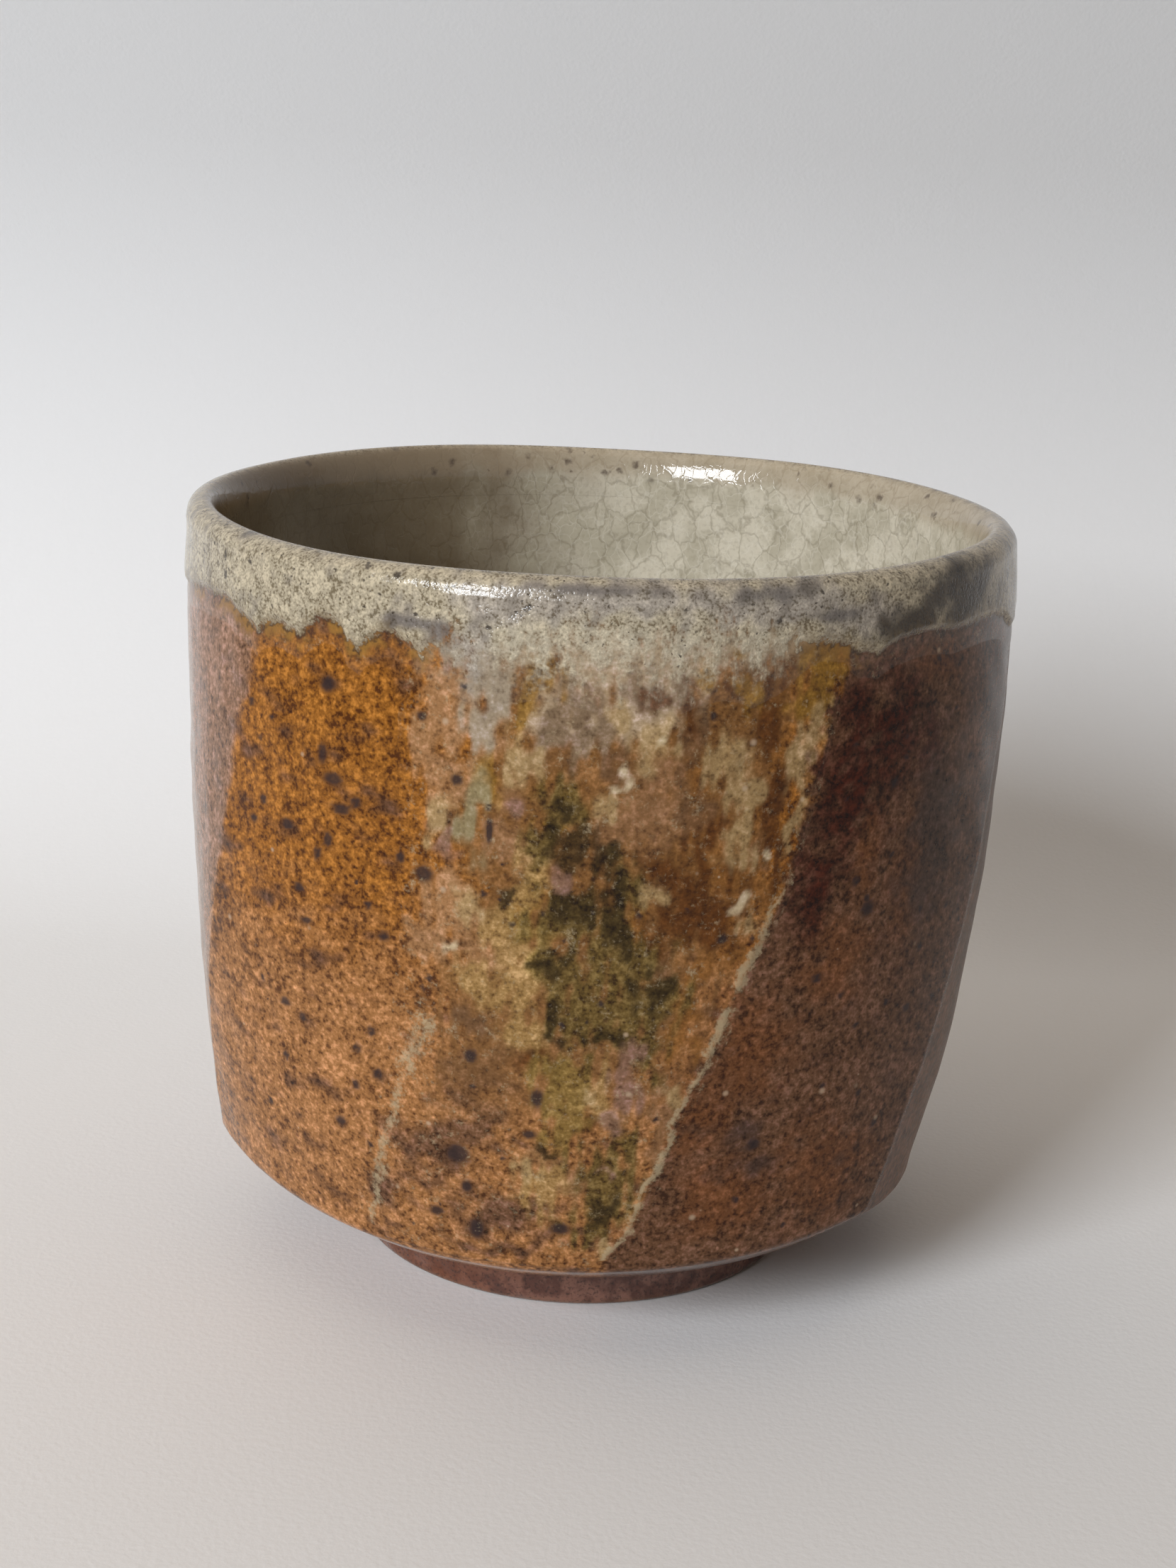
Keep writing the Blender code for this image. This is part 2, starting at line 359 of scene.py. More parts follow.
def line_across(z):
    """Where the pale line crosses each height, in mm: straight pieces between measured marks."""
    heights = (16, 20, 30, 39, 48, 56, 60, 65, 70, 77, 83, 89, 94)
    marks = (4.6, 7.7, 11.2, 13.7, 17.8, 20.4, 22.2, 24.1, 25.3, 26.9, 28.2, 29.6, 31)
    return np.interp(z, heights, marks)


LINE_RIPPLES = ((0.9, 6.0, 51), (0.6, 2.2, 52))
LINE_RAGGED = (62, 76)


def past_line(angle, z):
    """Distance right of the pale line by angle and height in mm, made ragged high up by two waves."""
    ragged = ripple(on_wall(angle, z), LINE_RIPPLES)
    return across(angle) - line_across(z) + ragged * smooth_step(z, *LINE_RAGGED)


TAN, AMBER, BROWN = fired(159, 109, 62, 1.15), fired(143, 89, 28, 1.4), fired(104, 71, 47, 1.3)
MAROON, RUSSET, DUSK = fired(58, 18, 3, 1.7), fired(112, 69, 37, 1.1), fired(80, 57, 44, 1.0)
UMBER = fired(78, 54, 40, 0.9)
KILN_PATCHES = (
    (MAROON, 0.45, (
        (33, 80, 6, 16), (40, 84, 5, 11), (29, 66, 4, 9), (46, 80, 3, 8), (-125, 78, 26, 20),
    )),
    (RUSSET, 0.45, (
        (48, 92, 6, 2), (36.5, 68, 2.5, 7), (44, 66, 3, 12), (33, 56, 5, 6), (22, 45, 7, 8),
        (16, 36, 5, 8), (21, 24, 8, 7), (36, 26, 9, 8), (92, 84, 14, 9),
    )),
    (DUSK, 0.45, (
        (23, 33, 3, 2.5), (25, 28, 4, 2), (49, 70, 7, 14), (130, 60, 30, 22),
    )),
    (UMBER, 0.45, (
        (70, 62, 11, 40),
    )),
    (BROWN, 0.4, (
        (-13, 43, 7, 3), (-14, 36, 6, 4), (-19, 29, 7, 5), (-27, 22, 4, 4), (-12, 21, 9, 4),
    )),
)
# Painted reflection: the rose-grey veil stands for the pale backdrop mirrored in the face left of the left
# arris.
ROSE_GREY_REFLECTION = fired(138, 110, 92, 1.0)
REFLECTION_SIDE = (-105, -75)
BACK_FADE = (168, 125)
AMBER_RISE = (46, 66)
RAGGED = 0.3
KILN_RIPPLES = ((0.6, 6.0, 9), (0.5, 2.4, 10))
DRIFT_ACROSS = ((0.9, 9.0, 5), (0.45, 3.0, 6))
DRIFT_UP = ((1.0, 10.0, 7), (0.5, 3.5, 8))
IRON_SPOTS = (
    (-33.7, 80, 0.8, 1.6), (-32.2, 77, 1.7, 1.0), (-31.2, 73.4, 1.6, 0.9), (-29, 74.6, 0.9, 0.9),
    (-33, 88.6, 1.2, 1.2), (-39.8, 69.7, 1.2, 0.8), (-33.4, 69, 0.8, 1.2), (-35, 67, 0.7, 1.2),
    (-46, 69, 0.8, 0.6), (-44, 72, 0.7, 0.8), (-38.2, 61.8, 0.9, 0.8), (-27.7, 61.7, 0.7, 0.7),
    (-25.6, 58, 1.0, 0.8), (-37.3, 57.6, 1.2, 0.6), (-20, 67, 1.5, 1.2), (-23.1, 68.7, 0.7, 0.9),
    (-46, 84, 0.7, 0.7), (-42, 82.8, 0.6, 0.5), (-42.4, 45.2, 1.1, 0.7), (-39.5, 43.8, 0.8, 0.8),
    (-43.6, 37.3, 0.7, 0.8), (-34.6, 30.2, 1.1, 0.9), (-28.2, 44.6, 0.8, 0.8), (-30.8, 41.6, 0.7, 0.8),
    (-27.7, 38.8, 0.9, 0.9), (-31.4, 36.4, 0.8, 0.8), (-14, 44, 1.0, 1.1), (-16.4, 29.6, 2.0, 1.6),
    (-15.2, 25, 0.9, 1.0), (-14, 18.8, 1.2, 1.7), (-5.4, 39, 1.0, 1.3), (-6.4, 33.7, 1.2, 0.7),
    (-2, 20, 1.8, 1.0), (-20, 20.5, 1.2, 0.8), (17, 60.5, 0.8, 0.8), (-15.8, 79.4, 0.9, 0.8),
    (-20.2, 86.6, 0.8, 0.7), (-11.8, 73.6, 0.5, 2.0), (40.1, 77.8, 0.8, 0.9), (35.2, 66, 0.7, 0.8),
    (37.4, 62, 1.2, 1.2), (40.6, 68.4, 0.6, 0.6), (47, 46.6, 0.9, 0.6), (37.8, 46.2, 0.7, 0.5),
    (44, 31, 0.7, 0.6), (30.6, 53.8, 0.9, 0.7), (56.4, 78.3, 0.7, 0.6), (53.4, 59.2, 0.6, 0.5),
    (24.5, 31.5, 1.0, 1.0),
)


def drifted(angle, z):
    """Across and height in mm, each pushed about 1 mm by long and short waves, so that zones wander."""
    points = on_wall(angle, z)
    return across(angle) + ripple(points, DRIFT_ACROSS), z + ripple(points, DRIFT_UP)


def lay(under, share, glaze):
    """A glaze laid over the colours under it by a share for each point."""
    return under + share[..., None] * (np.array(glaze) - under)


def lay_patches(colours, patches, u, z, noise):
    """Patches laid over colours in turn, each where its dabs plus ragged noise pass a half, softly."""
    for glaze, edge, marks in patches:
        share = smooth_step(dabs(u, z, marks) + RAGGED * noise, 0.5 - edge, 0.5 + edge)
        colours = lay(colours, share, glaze)
    return colours


def kiln_colours(angle, z):
    """Colour of the wall by angle and height in mm: tan below and amber above, brown right of the pale line,
    russet in places behind, then patches, and a painted rose-grey reflection left of the left arris."""
    points = on_wall(angle, z)
    noise = ripple(points, KILN_RIPPLES)
    right = smooth_step(past_line(angle, z), -0.6, 0.8) * smooth_step(across(angle), *BACK_FADE)
    u, z = drifted(angle, z)
    behind = smooth_step(np.abs(u), 70, 110) * smooth_step(waves(points, 50.0, seed=11), -0.6, 0.7)
    colours = np.broadcast_to(TAN, points.shape[:-1] + (4,))
    colours = lay(colours, smooth_step(z + 5 * noise, *AMBER_RISE), AMBER)
    colours = lay(colours, right * (1 - 0.7 * behind), BROWN)
    colours = lay(colours, 0.6 * behind * (1 - right), RUSSET)
    colours = lay_patches(colours, KILN_PATCHES, u, z, noise)
    left_arris = across(face_angle(z / 1000) - HALF_FACE)
    # Painted reflection: rose-grey laid over the face left of the left arris, where the glass mirrors the
    # pale backdrop.
    return lay(colours, 0.6 * smooth_step(left_arris - u, 0, 2) * smooth_step(u, *REFLECTION_SIDE), ROSE_GREY_REFLECTION)


def satin_share(angle, z):
    """Share of satin glass by angle and height in mm: full right of the right arris, gone at the back."""
    right_arris = across(face_angle(z / 1000) + HALF_FACE)
    return smooth_step(across(angle) - right_arris, -1, 2) * smooth_step(across(angle), *BACK_FADE)


def mixed(tree, first, second, share):
    """Two values added in shares that make a whole."""
    return node(tree, "ShaderNodeMix", {0: share, 2: first, 3: second}).outputs[0]


def stir(tree, parts, scale=1.0):
    """Sum of noises, each as its swing about a half times its weight, times a scale."""
    total = 0.0
    for noise, weight in parts:
        values = {0: calc(tree, "SUBTRACT", noise, 0.5), 1: weight, 2: total}
        total = node(tree, "ShaderNodeMath", values, operation="MULTIPLY_ADD").outputs[0]
    return times(tree, total, scale)


def make_kiln_skin():
    """Painted glaze colour made grainy: noise at 6, 0.95 and 0.38 mm darkens and lightens it by its
    graininess, and brown, black and pale specks lie over it."""
    tree = new_skin("kiln_skin")
    where = millimetres(tree)
    fine = grain(tree, where, 0.38, 1.5)
    mottle = grain(tree, millimetres(tree, shift=5), 0.95)
    blotch = grain(tree, millimetres(tree, shift=31), 6.0)
    paint = node(tree, "ShaderNodeAttribute", attribute_name="glaze")
    tone = stir(tree, ((mottle, 1.7), (fine, 1.0), (blotch, 0.7)), paint.outputs["Alpha"])
    dark = ramp(tree, tone, 0.08, -0.62)
    light = ramp(tree, tone, -0.04, 0.66)
    colour = toned(tree, paint.outputs["Color"], dark, 0.28, 0.21, 0.16)
    colour = toned(tree, colour, light, 1.95, 2.1, 2.9)
    wobble = pushed(tree, where, scale=1.1, push=1.0)
    dotted = times(tree, paint.outputs["Alpha"], 0.8)
    small = times(tree, specks(tree, wobble, spacing=1.7, radius=0.6, kept=0.7, softness=0.8), dotted)
    colour = toned(tree, colour, small, 0.40, 0.32, 0.28)
    pale = specks(tree, millimetres(tree, shift=19), spacing=1.3, radius=0.4, kept=0.4, softness=0.8)
    colour = toned(tree, colour, times(tree, pale, 0.6), 1.7, 1.75, 1.9)
    large = specks(tree, wobble, spacing=3.6, radius=0.8, kept=0.4, softness=0.8)
    iron = patchy(tree, field(tree, "iron"), mixed(tree, mottle, fine, 0.4), spread=1.2, edge=0.32)
    colour = tint(tree, colour, calc(tree, "MAXIMUM", large, iron), 0.9, fired(44, 34, 36))
    white = specks(tree, millimetres(tree, shift=53), spacing=4.0, radius=0.65, kept=0.45, softness=0.85)
    colour = tint(tree, colour, white, 0.7, fired(192, 166, 138))
    satin = times(tree, field(tree, "satin"), 0.22)
    rough = calc(tree, "ADD", ramp(tree, fine, 0.3, 0.7, 0.10, 0.20), satin)
    height = mixed(tree, fine, mottle, 0.6)
    return given(tree, colour, rough, height)


def stoneware_points(columns):
    """Rows from the underside's middle out to the rounded lower edge, up the faces, over the lip and down
    inside to the floor: radius and height for each row, turned with the lean of the faces."""
    edge_z = lower_edge(lambda z: columns + face_angle(z))
    edge_angle = columns + face_angle(edge_z)
    edge_radius = wall_radius(edge_angle, edge_z)
    before = edge_radius - EDGE_ROUNDING
    start_z = edge_z + EDGE_ROUNDING
    start_radius = wall_radius(columns + face_angle(start_z), start_z)
    rows = []
    for share in np.linspace(0, 1, UNDERSIDE_ROWS)[1:]:
        rows.append(place(edge_angle, before * share, underside_height(before * share)))
    for t in np.linspace(0, 1, EDGE_ROWS)[1:-1]:
        bend = ((1 - t) ** 2, 2 * t * (1 - t), t * t)
        radius = bend[0] * before + bend[1] * edge_radius + bend[2] * start_radius
        z = bend[0] * underside_height(before) + bend[1] * edge_z + bend[2] * start_z
        rows.append(place(columns + face_angle(z), radius, z))
    for share in np.linspace(0, 1, FACE_ROWS):
        z = start_z + share * (WALL_TOP - start_z)
        angle = columns + face_angle(z)
        rows.append(place(angle, wall_radius(angle, z), z))
    angle = columns + face_angle(WALL_TOP)
    outer, inner = wall_radius(angle, WALL_TOP), inner_radius(WALL_TOP)
    for turn in np.linspace(0, math.pi, RIM_ROWS)[1:]:
        radius = (outer + inner) / 2 + (outer - inner) / 2 * math.cos(turn)
        rows.append(place(angle, radius, WALL_TOP + LIP_RADIUS * math.sin(turn)))
    for z in np.linspace(WALL_TOP, CORNER_TOP, INNER_ROWS)[1:]:
        rows.append(place(angle, inner_radius(z), z))
    centre = inner_radius(CORNER_TOP) - INNER_CORNER
    for turn in np.linspace(0, math.pi / 2, CORNER_ROWS)[1:]:
        radius, z = centre + INNER_CORNER * math.cos(turn), CORNER_TOP - INNER_CORNER * math.sin(turn)
        rows.append(place(angle, radius, z))
    return np.stack(rows)


kiln_skin = make_kiln_skin()
wall_points = stoneware_points(round_columns())
wall_angles = angles_of(wall_points)
wall_heights = 1000 * wall_points[..., 2]
wall_fields = {
    "glaze": kiln_colours(wall_angles, wall_heights),
    "iron": dabs(across(wall_angles), wall_heights, IRON_SPOTS),
    "satin": satin_share(wall_angles, wall_heights),
}
kiln_glass = skin_material("amber_kiln_glass", kiln_skin, relief=0.00002, gloss=0.2)
stoneware_wall = add_shell("stoneware_wall", wall_points, wall_fields, kiln_glass)
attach(stoneware_wall, "root")
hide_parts("stoneware_body")

# Turned foot. A ring of the same clay, trimmed on the wheel when leather hard, with a soft standing edge.
# It lay out of the ash, so it fired to a bare, glossy maroon-brown that is orange where the flame licked it.

FOOT_WIDTH = 0.0065
FOOT_TAPER = 0.0005
FOOT_EDGE = 0.0010
FOOT_FILLET = 0.0012
FOOT_SEAT = 0.0001
FOOT_TUCK = 0.0004
FOOT_COLUMNS = 360
BASE_ROWS, TURN_ROWS, SIDE_ROWS, TOP_ROWS, BORE_ROWS = 6, 7, 14, 5, 4
FOOT_RIPPLES = ((0.00015, 0.020, 11), (0.00013, 0.003, 12))
FLAME_DABS = ((-45, 0, 30, 1), (90, 0, 30, 1))
POOL_HEIGHT = 0.0006
FOOT_STEADY = (0.0002, 0.0015)


def foot_points(angle):
    """A ring's section carried round the axis: level standing face, rounded edges, a side that flares by a
    quarter circle into the underside, and a hidden top; the radius wavers by a sum of waves."""
    outer, inner = FOOT_RADIUS - FOOT_TAPER, FOOT_RADIUS - FOOT_WIDTH
    turn = np.linspace(-math.pi / 2, 0, TURN_ROWS)
    quarter = np.linspace(0, math.pi / 2, TURN_ROWS)
    top = FOOT_HEIGHT + FOOT_SEAT
    radius = np.concatenate([
        np.linspace(inner + FOOT_EDGE, outer - FOOT_EDGE, BASE_ROWS)[:-1],
        outer - FOOT_EDGE + FOOT_EDGE * np.cos(turn),
        np.linspace(outer, FOOT_RADIUS, SIDE_ROWS)[1:-1],
        FOOT_RADIUS + FOOT_FILLET * (1 - np.cos(quarter)),
        np.linspace(FOOT_RADIUS, inner, TOP_ROWS)[1:],
        np.full(BORE_ROWS - 1, inner),
        inner + FOOT_EDGE - FOOT_EDGE * np.cos(turn[::-1][:-1]),
    ])
    height = np.concatenate([
        np.zeros(BASE_ROWS - 1),
        FOOT_EDGE + FOOT_EDGE * np.sin(turn),
        np.linspace(FOOT_EDGE, top - FOOT_FILLET, SIDE_ROWS)[1:-1],
        top - FOOT_FILLET + FOOT_FILLET * np.sin(quarter),
        np.full(TOP_ROWS - 1, top + FOOT_TUCK),
        np.linspace(top, FOOT_EDGE, BORE_ROWS)[:-1],
        FOOT_EDGE + FOOT_EDGE * np.sin(turn[::-1][:-1]),
    ])
    points = place(angle[None, :], radius[:, None], height[:, None])
    side = smooth_step(height, *FOOT_STEADY)[:, None]
    return place(angle[None, :], radius[:, None] + side * ripple(points, FOOT_RIPPLES), height[:, None])


def make_foot_skin():
    """Cloudy maroon-brown clay skin with orange on both sides, dark grain, and a tan line where the glass
    pooled at the standing edge."""
    tree = new_skin("foot_skin")
    where = millimetres(tree)
    fine = grain(tree, where, 0.5, 3.0, 0.6)
    cloud = grain(tree, where, 3.0, 3.0, 0.6)
    colour = over(tree, ramp(tree, cloud, 0.40, 0.62), fired(92, 56, 44), fired(134, 93, 77))
    orange = patchy(tree, field(tree, "orange"), cloud, spread=1.2, edge=0.3)
    colour = tint(tree, colour, orange, 0.6, fired(116, 64, 36))
    colour = tint(tree, colour, ramp(tree, fine, 0.5, 0.66), 0.6, fired(40, 24, 20))
    colour = tint(tree, colour, field(tree, "pool"), 0.6, fired(120, 90, 62))
    rough = ramp(tree, cloud, 0.3, 0.7, 0.07, 0.14)
    height = calc(tree, "ADD", times(tree, fine, 0.35), times(tree, cloud, 0.65))
    return given(tree, colour, rough, height)


foot_grid = foot_points(np.arange(FOOT_COLUMNS) * math.tau / FOOT_COLUMNS)
foot_across = across(angles_of(foot_grid))
foot_fields = {
    "orange": dabs(foot_across, 0.0 * foot_across, FLAME_DABS),
    "pool": np.exp(-((foot_grid[..., 2] / POOL_HEIGHT) ** 2)),
}
bare_clay = skin_material("bare_maroon_clay", make_foot_skin(), relief=0.00025, gloss=0.6)
turned_foot = add_shell("turned_foot", foot_grid, foot_fields, bare_clay, tube=True)
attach(turned_foot, "root")
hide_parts("foot_ring")

# Crackled liner. A grey-beige glaze poured into the bowl and swirled out again, so it covers the floor and
# the wall up to the lip. It shrank more than the clay, and crazed into a net of fine cracks.

COAT_STAND = 0.0009
LINER_SINK = 0.0002
LIP_OVERLAP = 0.0055
LINER_TOP = BOWL_HEIGHT - LIP_OVERLAP
LINER_COLUMNS = 480
LINER_BACK_ROWS = 10
LINER_ROWS = 90
LINER_STEADY = (0.002, 0.009)
LINER_RIPPLES = ((0.00016, 0.018, 21), (0.00005, 0.005, 22))
CELL_STRETCH = (1.0, 1.0, 1.5)
CRACK_CELL, CRACK_WIDTH = 3.2, 0.07
CRAZE_CELL, CRAZE_WIDTH = 1.8, 0.06


def inner_profile(offset, top, rows):
    """Radius and height down the inside from this top to the floor: the wall, then a quarter circle into the
    floor, all drawn in from the clay by an offset."""
    heights = np.linspace(top, CORNER_TOP, rows)
    centre = inner_radius(CORNER_TOP) - INNER_CORNER
    size = INNER_CORNER - offset
    turn = np.linspace(0, math.pi / 2, rows // 2)[1:]
    radius = np.concatenate([inner_radius(heights) - offset, centre + size * np.cos(turn), [centre / 2]])
    return radius, np.concatenate([heights, CORNER_TOP - size * np.sin(turn), [CORNER_TOP - size]])


def liner_points(angle):
    """Both sides of the coat: out along its hidden back, over its thin top edge and down its glossy front,
    which wavers by a sum of waves away from that edge."""
    back_radius, back_z = inner_profile(-LINER_SINK, LINER_TOP, LINER_BACK_ROWS)
    front_radius, front_z = inner_profile(COAT_STAND, LINER_TOP, LINER_ROWS)
    radius = np.concatenate([back_radius[::-1], front_radius])
    z = np.concatenate([back_z[::-1], front_z])
    points = place(angle[None, :], radius[:, None], z[:, None])
    front = np.concatenate([np.zeros(len(back_z)), smooth_step(LINER_TOP - front_z, *LINER_STEADY)])
    uneven = front[:, None] * ripple(points, LINER_RIPPLES)
    return place(angle[None, :], radius[:, None] - uneven, z[:, None])


def cell_edge(tree, where, size):
    """Distance to the nearest edge between Voronoi cells of this size, as a share of the size."""
    values = {"Vector": where, "Scale": 1 / size}
    return node(tree, "ShaderNodeTexVoronoi", values, feature="DISTANCE_TO_EDGE").outputs[0]


def make_liner_skin():
    """Grey-beige glaze, brown on the left where shade is painted, with clouds and two nets of cracks, dark
    and pale, drawn by the distance to the edges of stretched cells; a tan, speckled band under the lip."""
    tree = new_skin("liner_skin")
    where = millimetres(tree)
    bent = pushed(tree, where, scale=0.45, push=2.2, start=millimetres(tree, stretch=CELL_STRETCH))
    cloud = grain(tree, where, 6.0, 3.0)
    fine = grain(tree, where, 0.6)
    crack = ramp(tree, cell_edge(tree, bent, CRACK_CELL), CRACK_WIDTH, 0.0)
    craze = ramp(tree, cell_edge(tree, bent, CRAZE_CELL), CRAZE_WIDTH, 0.0)
    colour = over(tree, ramp(tree, cloud, 0.36, 0.64), fired(192, 184, 163), fired(220, 212, 192))
    colour = tint(tree, colour, ramp(tree, fine, 0.45, 0.7), 0.25, fired(150, 140, 118))
    colour = tint(tree, colour, crack, 0.34, fired(124, 113, 92))
    colour = tint(tree, colour, craze, 0.28, fired(236, 230, 214))
    # Painted shade: brown laid over the left of the inside, which turns away from the window.
    painted_shade = patchy(tree, field(tree, "painted_shade"), cloud, spread=0.8, edge=0.5)
    colour = tint(tree, colour, painted_shade, 0.88, fired(92, 74, 48))
    band = patchy(tree, field(tree, "tan_band"), cloud, spread=1.2, edge=0.4)
    colour = tint(tree, colour, band, 0.55, fired(150, 130, 102))
    wobble = pushed(tree, where, scale=1.1, push=1.6)
    spot = specks(tree, wobble, spacing=2.2, radius=1.0, kept=0.55, softness=0.9)
    spot = times(tree, spot, ramp(tree, field(tree, "tan_band"), 0.0, 0.6, 0.08, 1.0))
    colour = tint(tree, colour, spot, 0.8, fired(70, 52, 38))
    dent = calc(tree, "ADD", times(tree, crack, 0.25), times(tree, craze, 0.15))
    height = calc(tree, "SUBTRACT", times(tree, cloud, 0.4), dent)
    rough = ramp(tree, fine, 0.3, 0.7, 0.05, 0.09)
    return given(tree, colour, rough, height)


def liner_painted_shade(angle):
    """Share of brown painted shade: full on the left of the inside and gone on its right and back."""
    return smooth_step(-np.cos(angle + 0.35), 0.1, 0.95)


def tan_band(z):
    """Share of the tan band: full at the lip and gone about 5 mm below it."""
    return smooth_step(z, BOWL_HEIGHT - LIP_OVERLAP, BOWL_HEIGHT - 0.0005)


liner_skin = make_liner_skin()
liner_grid = liner_points(np.arange(LINER_COLUMNS) * math.tau / LINER_COLUMNS)
liner_fields = {
    "tan_band": tan_band(liner_grid[..., 2]),
    "painted_shade": liner_painted_shade(angles_of(liner_grid)),
}
crackled_glaze = skin_material("crackled_grey_glaze", liner_skin, relief=0.00005, gloss=0.5)
crackle_liner = add_shell("crackle_liner", liner_grid, liner_fields, crackled_glaze)
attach(crackle_liner, "root")
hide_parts("liner_glaze")

# Ash run. Wood ash that landed on the shoulder, melted and ran down the front in a broad tongue of cream,
# ochre and olive glass. A pale raised bead stands along its right side, and a flat pale line low on its left.

RUN_MARGIN = 5.0
RUN_THICKNESS = 0.00025
BEAD_HEIGHT = 0.00013
BEAD_WIDTH = 0.5
RUN_FLOOR = 0.00006
RUN_COLUMNS = 200
RUN_ROWS = 190
RUN_TOP = 0.0975
RUN_DIP = 0.001
RUN_SINK = 0.00016
RUN_BACK = 0.0004
SIDE_BORDER, END_BORDER = 0.05, 0.03
LUMP_RIPPLES = ((0.45, 0.007, 31), (0.25, 0.003, 32))


def run_left(z):
    """Left side of the tongue at each height, in mm: straight pieces between measured marks."""
    return np.interp(z, (16, 30, 45, 61, 90), (-31.7, -27.0, -22.0, -19.6, -20.0))


def run_inside(u, z):
    """Signed distance inside the tongue in mm: the nearer of its left side and the bead on its right."""
    return np.minimum(u - run_left(z), line_across(z) - u)


def run_depth(angle, z):
    """Height of the ash above the wall in metres: a low uneven cushion, and a bell-shaped bead along its
    right side."""
    u, z_mm = across(angle), 1000 * z
    points = place(angle, MEAN_RADIUS / 1000, z)
    cushion = RUN_THICKNESS * smooth_step(run_inside(u, z_mm), -0.5, 6.0)
    lumps = 1 + ripple(points, LUMP_RIPPLES)
    wander = 0.35 * waves(points, 0.006, seed=33)
    bead = BEAD_HEIGHT * np.exp(-(((u - line_across(z_mm) + wander) / BEAD_WIDTH) ** 2))
    bead = bead * (0.75 + 0.25 * waves(points, 0.005, seed=34)) * smooth_step(z_mm, 15.5, 17)
    return cushion * np.clip(lumps, 0.2, 1.8) + bead


ASH_BASE, WASH, PEACH = fired(122, 85, 46, 0.7), fired(176, 153, 122, 0.7), fired(164, 121, 80, 0.8)
ROSE_TAN, GINGER, MOCHA = fired(138, 99, 63, 0.7), fired(134, 87, 36, 0.8), fired(98, 72, 50, 0.7)
RUST, HONEY, OCHRE = fired(88, 48, 10, 0.8), fired(140, 101, 34, 0.8), fired(158, 124, 72, 1.0)
MUSTARD, OLIVE, DARK_OLIVE = fired(130, 104, 50, 1.0), fired(100, 79, 36, 1.3), fired(46, 33, 8, 1.2)
MAUVE, TAN_CREAM, CREAM = fired(134, 100, 82, 0.7), fired(172, 143, 97, 0.7), fired(212, 192, 156, 0.4)
CELADON, SMEAR = fired(146, 134, 98, 0.5), fired(166, 151, 128, 0.5)
ASH_LEVEL, ASH_EDGE, ASH_RAGGED = 0.43, 0.33, 0.26
ASH_RIPPLES = ((0.5, 4.0, 35), (0.4, 1.8, 36))
STREAK_RIPPLES = ((0.9, 1.7, 37),)
STREAK_SHARE = 0.2
